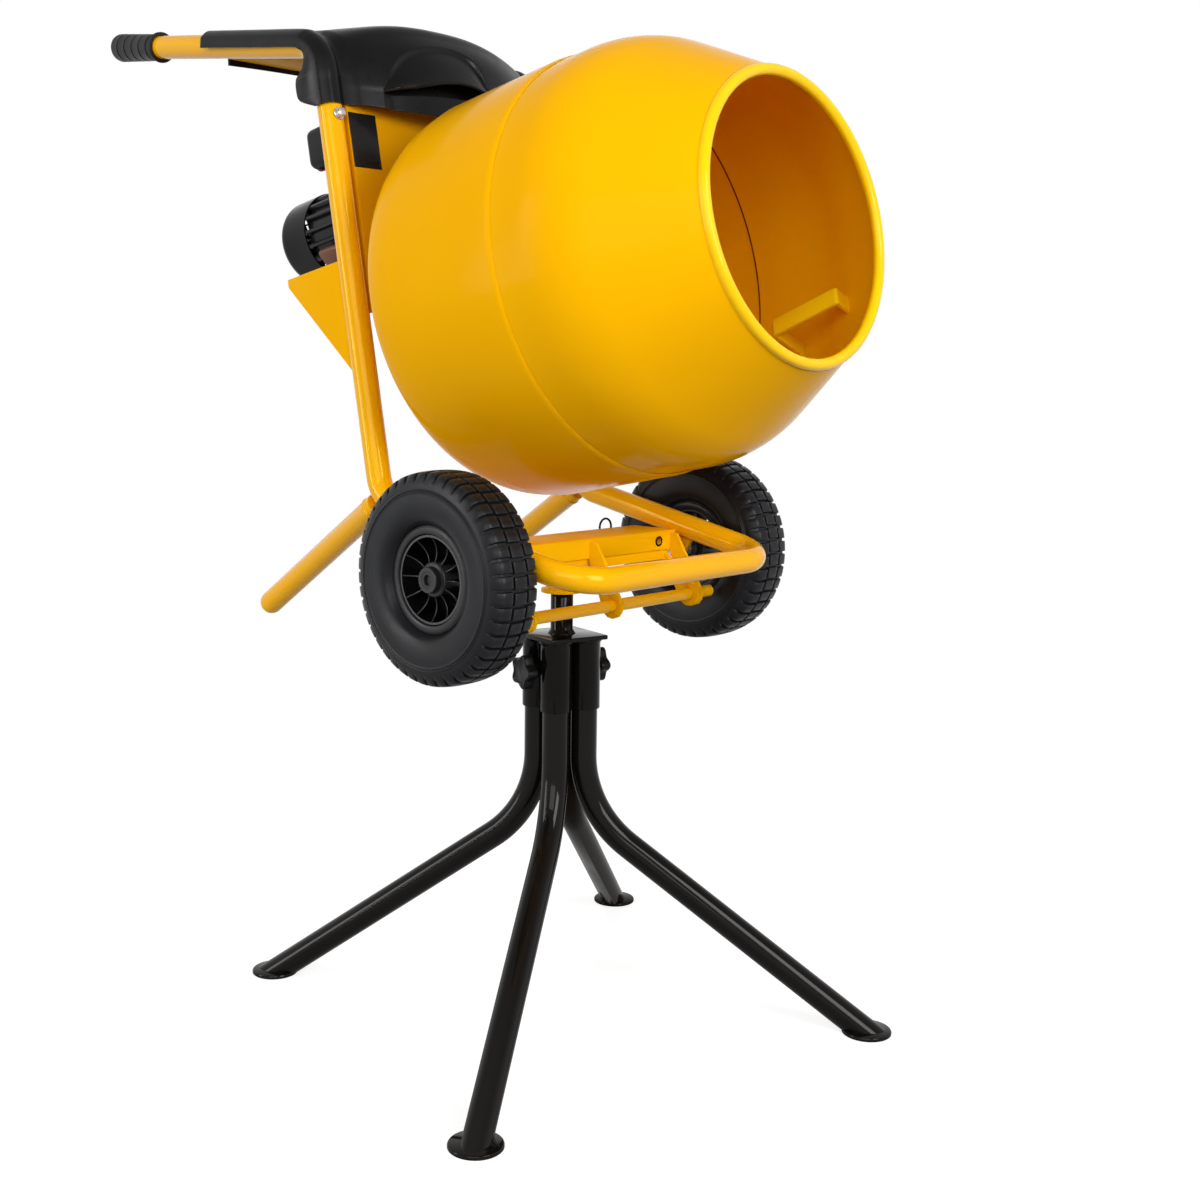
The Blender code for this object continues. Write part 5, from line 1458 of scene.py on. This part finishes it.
    def build_paddle(self, name: str, turn: float) -> None:
        """A slanted flat bar along the drum with both ends bent out to the wall.

        Args:
            name: lower or upper.
            turn: turn about the drum's axis.
        """
        low, high = self.paddle_span
        place = DRUM.moved((low + high) / 2).turned(turn)
        c, s = math.cos(self.paddle_slant), math.sin(self.paddle_slant)
        axes = Axes(place.origin, place.u * c - place.v * s, place.u * s + place.v * c, place.w)
        half, t, r = (high - low) / 2, self.paddle_thick, self.paddle_radius
        outline = [*arc((self.paddle_bend - half, r + self.paddle_bend), self.paddle_bend, 180, 270, 6),
                   *arc((half - self.paddle_bend, r + self.paddle_bend), self.paddle_bend, 270, 360, 6),
                   (half, self.belly), (half - t, self.belly), (half - t, r + t), (t - half, r + t),
                   (t - half, self.belly), (-half, self.belly)]
        start = -self.paddle_width / 2
        corners = [axes.at(u, start, w) for u, w in outline]
        bar = soften(plate("mixing_bar_" + name, corners, axes.v * self.paddle_width), 0.0009, 2, 40)
        room = [(self.mouth - s, self.radius(s) - self.wall + self.gap) for s in self.paddle_room]
        room += [(self.mouth - s, self.belly * 1.1) for s in (self.paddle_room[-1], self.paddle_room[0])]
        wall = turned("room", DRUM, room, self.steps, closed=True)
        # The bar's lighter enamel is painted light.
        dress(smooth(carve(bar, wall), 40), PAINTED_LIGHT_BAR, "drum", "paddle_" + name)


# Hood

@dataclass
class Hood:
    """Moulded cover: tube covers at both sides and a scooped dome between them."""

    tube: float = 0.0325
    rise: float = math.radians(18.1)
    top: float = 0.3545
    bend: float = 0.050
    half: float = 0.2115
    wall: float = 0.003
    rear: float = -0.232
    front: float = 0.062
    low: float = 0.262
    leg_low: float = 0.274
    crest: float = 0.033
    room: float = 0.0007
    arch: float = 0.84
    lip: float = 0.043
    tab: tuple[float, ...] = (0, 0, 0, 0, 0, 0, 0.0128, 0.0288, 0.0320, 0.0272, 0)
    rows: int = 14
    scoop_at: float = -0.19
    scoop_half: float = 0.43
    scoop_ends: Point = (8.70, -0.35)
    scoop_rise: Place = (-2.22, -0.92, 0.12)
    step: float = 0.0050
    eyelid: float = 0.0120
    sill: float = 0.0060
    valley: float = 0.0045
    valley_at: float = 0.83
    valley_half: float = 0.05
    turn_at: float = 0.92
    turn_drop: float = 0.012
    columns: int = 44
    # Dark block behind the slot: painted shade in the opening.
    slot_back: tuple[Place, Place] = ((0.0235, -0.150, 0.286), (0.0255, 0.090, 0.336))

    def handle_w(self, u: float) -> float:
        """Height of the handle's centre line."""
        return self.top - u * math.tan(self.rise)

    def sides(self) -> list[Place]:
        """Stations along the tube.

        Returns:
            For each one its centre (u, w) and the angle of the outward side.
        """
        middle = (-self.bend, self.handle_w(-self.bend) - self.bend / math.cos(self.rise))
        upward = math.pi / 2 - self.rise
        stations = [(u, self.handle_w(u), upward) for u in (self.rear, self.rear * 0.72, self.rear * 0.45)]
        for step in range(5):
            a = upward * (1 - step / 4)
            stations.append((middle[0] + self.bend * math.cos(a), middle[1] + self.bend * math.sin(a), a))
        for share in (1 / 3, 2 / 3, 1):
            stations.append((0, middle[1] + (self.leg_low - middle[1]) * share, 0))
        return stations

    def middle(self, cover: float) -> list[Point]:
        """Outline of the dome over the machine's middle.

        Args:
            cover: distance of the outer face from the tube's centre line.

        Returns:
            One place (u, w) for each station.
        """
        flat = [(u + cover * math.cos(a), w + cover * math.sin(a) + 0.003) for u, w, a in self.sides()[:3]]
        tall = self.top + self.tube / 2 + self.crest - self.low
        dome = [(-0.070, 1.06), (-0.030, 1.03), (self.front * 0.26, 0.95), (self.front * 0.58, 0.80),
                (self.front * 0.86, 0.57), (self.front, 0.24), (self.front, 0.17), (self.front, 0)]
        return flat + [(u, self.low + tall * share) for u, share in dome]

    def in_scoop(self, share: float) -> float:
        """Place across the scoop, from -1 to 1 inside it."""
        return (share - self.scoop_at) / self.scoop_half

    def level(self, index: float, share: float) -> float:
        """Station that a line of the grid runs through, drawn to the scoop's curves.

        Args:
            index: number of the line, in stations.
            share: place across the hood.

        Returns:
            The station.
        """
        if index <= 6:
            return index
        x = self.in_scoop(share)
        thin = math.sqrt(max(0.004, 1 - x * x))
        full = max(0.02, 1 - abs(x) ** 2.6) ** (1 / 2.6)
        ends = self.scoop_ends[0] + self.scoop_ends[1] * min(1.0, max(-1.0, x))
        knots = (6.0, *(ends + rise * bow for rise, bow in zip(self.scoop_rise, (full, thin, thin))), 10.0)
        i = min(int(index - 6), 3)
        drawn = knots[i] + (knots[i + 1] - knots[i]) * (index - 6 - i)
        pull = min(1.0, max(0.0, (1.25 - abs(x)) / 0.25))
        return index + (drawn - index) * pull

    def pressed(self, index: float, share: float) -> float:
        """How far the surface is pressed in at the scoop.

        Args:
            index: number of the grid's line, in stations.
            share: place across the hood.

        Returns:
            Depth: a step under the crease, a lid bulging over the slot, and a set-back sill.
        """
        bow = 1 - self.in_scoop(share) ** 2
        if bow <= 0 or index <= 7:
            return 0.0
        fade = min(1.0, bow / 0.25)
        if index > 8.5:
            return fade * self.sill
        t = min(1.0, index - 7)
        step = min(1.0, t / 0.22)
        return fade * (self.step * step * step * (3 - 2 * step) - self.eyelid * t * t)

    def place(self, index: float, share: float, lines: Sequence[Sequence[tuple[float, ...]]]) -> Vector:
        """Place of one grid point on the hood's outer face.

        Args:
            index: number of the grid's line, in stations.
            share: place across the hood.
            lines: fine curves of the sides and of the middle.

        Returns:
            The place in the frame's axes.
        """
        fine = self.level(index, share) * self.rows
        low = min(int(fine), len(lines[0]) - 2)
        (u, w, a), (mu, mw) = [[p + (q - p) * (fine - low) for p, q in zip(line[low], line[low + 1])]
                               for line in lines]
        out = Vector((math.cos(a), math.sin(a)))
        turn = max(0.0, (abs(share) - self.turn_at) / 0.08)
        dip = max(0.0, 1 - ((abs(share) - self.valley_at) / self.valley_half) ** 2)
        sag = self.turn_drop * turn ** 2 + self.valley * dip
        edge = Vector((u, w)) + out * (self.tube / 2 + self.room + self.wall - sag)
        spot = edge.lerp(Vector((mu, mw)), max(0.0, 1 - (abs(share) / self.arch) ** 2.5))
        return DRUM.at(spot.x - self.pressed(index, share), share * self.half, spot.y)

    def build(self) -> None:
        """Lay a fine grid over the stations, open the slot, and give it its wall."""
        lateral = self.lateral()
        hood = sheet("hood_moulding", self.grid(lateral))
        self.open_slot(hood, lateral)
        bpy.ops.mesh.select_all(action="SELECT")
        bpy.ops.mesh.remove_doubles(threshold=MERGE)
        bpy.ops.mesh.normals_make_consistent(inside=False)
        roof = max(bmesh.from_edit_mesh(hood.data).faces, key=lambda f: f.calc_center_median().z)
        if roof.normal.z < 0:
            bpy.ops.mesh.flip_normals()
        bpy.ops.object.mode_set(mode="OBJECT")
        apply(hood, "SOLIDIFY", thickness=self.wall, offset=-1.0)
        apply(hood, "BEVEL", width=0.0009, segments=2, limit_method="ANGLE", angle_limit=math.radians(60))
        # A dark block behind the slot stands in for the shade inside it.
        back = block("slot_back", DRUM, *self.slot_back)
        dress(join([smooth(hood, 50), back]), MOULDED, "frame", "hood")

    def lateral(self) -> list[float]:
        """Places across the hood for the grid's columns, closer at the edges and the slot's ends.

        Returns:
            The places in order, from -1 to 1.
        """
        across = {i / self.columns for i in range(-self.columns, self.columns + 1)}
        across |= {side * k for side in (-1, 1) for k in (0.988, 0.965, 0.944, 0.865)}
        across |= {self.scoop_at + self.scoop_half * k for k in (-1.01, -1.0, -0.98, 0.98, 1.0, 1.01)}
        return sorted(across)

    def grid(self, lateral: list[float]) -> list[list[Vector]]:
        """Rows of places on the outer face, with the skirts at both sides and the rear lip.

        Args:
            lateral: places of the columns across the hood.

        Returns:
            The rows, from the rear lip to the front.
        """
        cover = self.tube / 2 + self.room + self.wall
        lines = (curve_through(self.sides(), self.rows), curve_through(self.middle(cover), self.rows))
        flaps = curve_through([(reach,) for reach in self.tab], self.rows)
        grid = []
        for number, ((u, w, a), (flap,)) in enumerate(zip(lines[0], flaps)):
            out = Vector((math.cos(a), math.sin(a)))
            skirt = Vector((u, w)) - out * (self.tube * 0.16 + flap)
            row = [self.place(number / self.rows, share, lines) for share in lateral]
            grid.append([DRUM.at(skirt.x, -self.half, skirt.y), *row, DRUM.at(skirt.x, self.half, skirt.y)])
        drop = (DRUM.u * math.sin(self.rise) + DRUM.w * math.cos(self.rise)) * self.lip
        inner = [False, *(abs(share) < 0.78 for share in lateral), False]
        return [[spot - drop if inside else spot for spot, inside in zip(grid[0], inner)], *grid]

    def open_slot(self, hood: Piece, lateral: list[float]) -> None:
        """Take out the faces of the slot, in edit mode.

        Args:
            hood: the sheet, with its vertices in the grid's order.
            lateral: places of the columns across the hood.
        """
        width = len(lateral) + 2
        bm = bmesh.from_edit_mesh(hood.data)
        bm.verts.ensure_lookup_table()
        for face in bm.faces:
            lines_at = [(v.index // width - 1) / self.rows for v in face.verts]
            columns = [v.index % width - 1 for v in face.verts]
            inside = all(0 <= c < len(lateral) and abs(self.in_scoop(lateral[c])) < 1.0001 for c in columns)
            face.select_set(inside and min(lines_at) >= 8 - 1e-6 and max(lines_at) <= 9 + 1e-6)
        bmesh.update_edit_mesh(hood.data)
        bpy.ops.mesh.delete(type="FACE")


# Drive

@dataclass
class Drive:
    """Front plate, gear case, countershaft, motor, guards, switch and bolts."""

    sheet: float = 0.003
    plate_u: float = 0.010
    motor_dia: float = 0.122
    fins: int = 18
    fin_depth: float = 0.008
    switch_v: float = -0.135
    switch_w: float = 0.2475
    switch_size: Point = (0.050, 0.054)
    button_rise: float = 0.015
    button_dia: float = 0.020
    bolt_dia: float = 0.016
    leg_low: float = 0.274
    tube: float = 0.0325
    half: float = 0.190
    shaft_hole: float = 0.0075
    shaft_edge: float = 0.0004
    cover_round: Point = (0.012, 0.008)
    cover_wall: float = 0.002
    cover_steps: int = 72
    slots: tuple[Point, ...] = ((0.76, 0.86), (0.52, 0.72), (0.30, 0.48))
    blank_v: Point = (-0.172, -0.126)
    blank_w: Point = (0.194, 0.266)

    def build(self) -> None:
        """Model and dress everything behind the drum."""
        # The gear front plate gets the darker enamel: painted shade.
        for node, finish, edge in (("gear_front_plate", PAINTED_SHADE_ENAMEL, 0.0008), ("handle_brace", DULL, 0.0006),
                                   ("guard_left", YELLOW, 0.0007), ("guard_right", YELLOW, 0.0007),
                                   ("gear_case", YELLOW, 0.0035),
                                   ("drum_bearing", CASTING, 0.001), ("counter_bush_front", STEEL, 0.0004),
                                   ("counter_bush_rear", STEEL, 0.0004), ("terminal_box", MOTOR, 0.0015),
                                   ("run_capacitor", AMBER, 0.0015)):
            refined(node, node + "_made", edge, finish, "frame", 3)
        for node, finish, body in (("counter_shaft", STEEL, "counter"), ("counter_gear", CASTING, "counter"),
                                   ("rotor_shaft", STEEL, "rotor"), ("cooling_fan", MOULDED, "rotor")):
            refined(node, node + "_made", self.shaft_edge, finish, body)
        self.build_motor()
        self.build_switch()
        self.build_blank()
        for side in Side:
            self.build_bolt(side)

    def along(self, node: str) -> Point:
        """Lowest and highest place of a node along the drum's axis."""
        places = [(v.co - DRUM.origin).dot(DRUM.u) for v in frame["nodes"][node].data.vertices]
        return min(places), max(places)

    def build_motor(self) -> None:
        """Front bell, finned body and slotted fan cover."""
        motor = Axes(ROTOR.origin - DRUM.u * (ROTOR.origin - DRUM.origin).dot(DRUM.u), DRUM.u, DRUM.v, DRUM.w)
        r, hole = self.motor_dia / 2, self.shaft_hole
        low, high = self.along("motor_front_bell")
        rows = [(low, hole), (low, r - 0.002), (low + 0.0015, r - 0.0004), (low + 0.004, r),
                (low + 0.012, r), (low + 0.0145, r - 0.0012), (high - 0.003, r - 0.014),
                (high, r - 0.017), (high, hole)]
        bell = turned("motor_bell", motor, rows, 72, closed=True)
        dress(smooth(bell, 35), MOTOR, "frame", "motor_front_bell")
        low, high = self.along("motor_body")
        core, tip, outline = r - self.fin_depth, r - 0.001, []
        fin = ((-0.36, core), (-0.20, core), (-0.13, tip - 0.001), (-0.09, tip),
               (0.09, tip), (0.13, tip - 0.001), (0.20, core), (0.36, core))
        for i in range(self.fins):
            for share, radius in fin:
                a = TAU * (i + share) / self.fins
                outline.append(motor.at(low, radius * math.cos(a), radius * math.sin(a)))
        body = plate("motor_finned_body", outline, motor.u * (high - low))
        start, stop = low - 0.01, high + 0.01
        bore = turned("bore", motor, [(start, 0), (start, hole), (stop, hole), (stop, 0)], 24)
        dress(smooth(carve(body, bore), 30), MOTOR, "frame", "motor_body")
        self.build_cover(motor)

    def build_cover(self, motor: Axes) -> None:
        """Sheet fan cover with rings of slots in its back.

        Args:
            motor: axes of the motor, with u along its shaft.
        """
        low, high = self.along("fan_cover")
        r, (deep, wide) = self.motor_dia / 2 + 0.0005, self.cover_round
        rows = [(high, r), (low + deep, r)]
        rows += [(low + deep - deep * math.sin(a), r - wide * (1 - math.cos(a))) for a in quarter(6)[1:]]
        rows += [(low, r * share) for share in (0.76, 0.72, 0.52, 0.48, 0.30, 0)]
        cover = turned("motor_fan_cover", motor, rows, self.cover_steps)
        bpy.ops.object.mode_set(mode="EDIT")

        def in_slot(face: bmesh.types.BMFace) -> bool:
            """Whether a face lies in one of the slots.

            Args:
                face: the face.

            Returns:
                Whether it does.
            """
            spot = face.calc_center_median() - motor.at(low)
            away = math.hypot(spot.dot(motor.v), spot.dot(motor.w))
            around = math.atan2(spot.dot(motor.w), spot.dot(motor.v)) / TAU * self.cover_steps
            turn = int(around + self.cover_steps) % 4
            ring = any(r * inner < away < r * outer for inner, outer in self.slots)
            return abs(spot.dot(motor.u)) < 1e-4 and ring and turn in (0, 1)

        pick_faces(cover, in_slot)
        bpy.ops.mesh.delete(type="FACE")
        bpy.ops.object.mode_set(mode="OBJECT")
        apply(cover, "SOLIDIFY", thickness=self.cover_wall, offset=-1.0)
        dress(smooth(cover, 35), COVER, "frame", "fan_cover")

    def build_switch(self) -> None:
        """Rounded switch box with two buttons in wells on its rear."""
        (a, b), v, w = self.switch_size, self.switch_v, self.switch_w
        low, high = self.along("switch_box")
        box = block("switch_housing", DRUM, (low, v - a / 2, w - b / 2), (high, v + a / 2, w + b / 2))
        soften(box, 0.011, 6)
        r = self.button_dia / 2
        wide = r + 0.0005
        dome = [(-0.005, 0), (-0.005, r - 0.0035), (-0.0046, r - 0.0015), (-0.0036, r - 0.0003),
                (-0.0025, r), (0.0108, r), (0.0108, 0)]
        for name, finish, rise in (("on", GREEN, self.button_rise), ("off", RED, -self.button_rise)):
            place = DRUM.moved(low, v, w + rise)
            carve(box, turned("well", place, [(-0.01, 0), (-0.01, wide), (0.016, wide), (0.016, 0)], 40))
            cap = turned("push_cap_" + name, place, dome, 48)
            dress(smooth(cap, 35), finish, "button_" + name, "switch_button_" + name)
        dress(smooth(box, 35), MOULDED, "frame", "switch_box")

    def build_blank(self) -> None:
        """Plain dark plate on the front plate, beside the right upright."""
        u = self.plate_u + self.sheet
        near, far = zip((u - 0.0002, u + 0.0008), self.blank_v, self.blank_w)
        blank = block("blank_plate", DRUM, near, far)
        dress(soften(blank, 0.0004, 2), MOULDED, "frame")

    def build_bolt(self, side: Side) -> None:
        """Washer and six-sided bolt head on the front of an upright.

        Args:
            side: side of the machine.
        """
        height = self.leg_low - self.bolt_dia * 0.85
        place = DRUM.moved(self.tube / 2 + 0.0003, side.value * self.half, height)
        r = self.bolt_dia / 2
        rows = [(0, 0), (0, r - 0.0003), (0.0004, r), (0.0013, r), (0.0017, r - 0.0004), (0.0017, 0)]
        washer = smooth(turned("bolt_" + side.word, place, rows, 40))
        turns = [TAU * (i + 0.3) / 6 for i in range(6)]
        corners = [place.at(0.0015, 0.0062 * math.cos(a), 0.0062 * math.sin(a)) for a in turns]
        head = soften(plate("head", corners, place.u * 0.0068), 0.0007, 2)
        dress(join([washer, head]), STEEL, "frame", "frame_bolt_" + side.word)


# Studio

@dataclass
class Studio:
    """Pale floor, soft lamps and the photograph's camera."""

    eye: Place = (1.579123, -1.5001, 0.8755)
    yaw: float = 2.3332
    pitch: float = -0.1452
    roll: float = 0.0085
    focal: float = 1551.5871
    centre: Point = (543.7711, 590.1337)
    image: float = 1200.0
    sensor: float = 36.0
    clip_end: float = 60.0
    ambient: float = 0.30
    dimmed: Point = (0.25, 0.85)
    overhead: float = 0.42
    bounce: float = 0.50
    lift: float = 0.72
    mirror_lift: float = 0.20
    pale: float = 0.42
    floor_radius: float = 9.0
    floor_drop: float = 0.0002
    whitened: Point = (0.75, 1.6)
    target: Place = (0.05, 0.0, 0.75)
    unseen: str = "back"
    lamps: tuple[tuple[str, Place, Point, float], ...] = (
        ("key", (2.0, -2.6, 1.8), (2.4, 1.6), 43.5),
        ("fill", (-1.5, -2.7, 1.4), (0.8, 2.0), 38.0),
        ("right", (2.8, -0.3, 1.7), (1.1, 1.5), 53.0),
        ("left", (-0.7, -2.7, 1.6), (0.012, 2.2), 6.0),
        ("back", (-2.3, 1.9, 2.3), (1.8, 1.2), 34.0))

    def build(self) -> None:
        """Set up the whole studio."""
        bpy.context.scene.view_settings.view_transform = "Standard"
        self.build_world()
        self.build_floor()
        for name, place, size, power in self.lamps:
            self.build_lamp(name, place, size, power)
        self.build_camera()

    def seen(self, tree: Tree) -> Socket:
        """A factor that is 1 for rays that see the background directly or in a mirror.

        Args:
            tree: node tree.

        Returns:
            The factor.
        """
        path = add_node(tree, "LightPath", {}).outputs
        total = path["Is Camera Ray"]
        for name in ("Is Glossy Ray", "Is Transmission Ray"):
            total = add_node(tree, "Math", {0: total, 1: path[name]}, operation="MAXIMUM").outputs[0]
        return total

    def build_world(self) -> None:
        """White surround where it is seen, dimmer overhead in mirrors and softer as a light."""
        world = bpy.data.worlds.new("studio")
        bpy.context.scene.world = world
        world.use_nodes = True
        tree = world.node_tree
        back = tree.nodes["Background"]
        back.inputs["Color"].default_value = (1, 1, 1, 1)
        place = add_node(tree, "TexCoord", {})
        parts = add_node(tree, "SeparateXYZ", {0: place.outputs["Generated"]})
        shown = Effects.span(tree, parts.outputs["Z"], *self.dimmed, 1.0, self.overhead)
        level = add_node(tree, "MapRange", {"Value": self.seen(tree), "To Min": self.ambient,
                                            "To Max": shown})
        tree.links.new(level.outputs["Result"], back.inputs["Strength"])

    def build_floor(self) -> None:
        """Pale floor that goes over to plain white away from the object but keeps its shadow."""
        deselect()
        bpy.ops.mesh.primitive_circle_add(vertices=96, radius=self.floor_radius, fill_type="NGON",
                                          location=(0, 0, -self.floor_drop))
        floor = named("studio_floor")
        bpy.ops.object.transform_apply()
        mat = bpy.data.materials.new("pale_floor")
        mat.use_nodes = True
        tree = mat.node_tree
        tree.nodes.remove(tree.nodes["Principled BSDF"])
        seen = self.seen(tree)
        pale = Effects.span(tree, seen, 0.0, 1.0, self.bounce, self.pale)
        diffuse = add_node(tree, "BsdfDiffuse", {"Color": pale})
        camera = add_node(tree, "LightPath", {}).outputs["Is Camera Ray"]
        level = Effects.span(tree, camera, 0.0, 1.0, self.mirror_lift, self.lift)
        glow = add_node(tree, "Math", {0: seen, 1: level}, operation="MULTIPLY")
        lift = add_node(tree, "Emission", {"Strength": glow.outputs[0]})
        near = add_node(tree, "AddShader", {0: diffuse.outputs[0], 1: lift.outputs[0]})
        white = add_node(tree, "Emission", {"Strength": seen})
        place = add_node(tree, "TexCoord", {})
        away = add_node(tree, "VectorMath", {0: place.outputs["Object"]}, operation="LENGTH")
        far = Effects.span(tree, away.outputs["Value"], *self.whitened)
        mix = add_node(tree, "MixShader", {0: far, 1: near.outputs[0], 2: white.outputs[0]})
        tree.links.new(mix.outputs[0], tree.nodes["Material Output"].inputs["Surface"])
        floor.data.materials.append(mat)

    def build_lamp(self, name: str, place: Place, size: Point, power: float) -> None:
        """One soft lamp aimed at the machine.

        Args:
            name: name of the lamp.
            place: where it hangs.
            size: width and height.
            power: watts.
        """
        aim = (Vector(self.target) - Vector(place)).to_track_quat("-Z", "Y").to_euler()
        bpy.ops.object.light_add(type="AREA", location=place, rotation=aim)
        lamp = bpy.context.object
        lamp.name = lamp.data.name = name + "_softbox"
        lamp.data.shape = "RECTANGLE"
        lamp.data.size, lamp.data.size_y = size
        lamp.data.energy = power
        lamp.visible_glossy = name != self.unseen

    def build_camera(self) -> None:
        """Camera at the photograph's place, angle and focal length."""
        c, s = math.cos, math.sin
        ahead = Vector((c(self.yaw) * c(self.pitch), s(self.yaw) * c(self.pitch), s(self.pitch)))
        right = Vector((s(self.yaw), -c(self.yaw), 0))
        up = right.cross(ahead)
        right, up = right * c(self.roll) + up * s(self.roll), up * c(self.roll) - right * s(self.roll)
        turn = Matrix((right, up, -ahead)).transposed().to_euler()
        bpy.ops.object.camera_add(location=self.eye, rotation=turn)
        camera = bpy.context.object
        camera.data.sensor_width = self.sensor
        camera.data.lens = self.focal / self.image * self.sensor
        camera.data.shift_x = (self.image / 2 - self.centre[0]) / self.image
        camera.data.shift_y = (self.centre[1] - self.image / 2) / self.image
        camera.data.clip_end = self.clip_end
        bpy.context.scene.camera = camera


def main() -> None:
    """Build the sub-assemblies in order, then the studio."""
    logging.basicConfig(level=logging.INFO, format="%(message)s")
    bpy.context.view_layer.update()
    wheels = (Wheel(Side.RIGHT), Wheel(Side.LEFT))
    for part in (Stand(), Saddle(), TubeFrame(), *wheels, Drum(), Hood(), Drive()):
        LOG.info("building %s", type(part).__name__)
        part.build()
    Studio().build()
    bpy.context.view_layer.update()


if __name__ == "__main__":
    main()
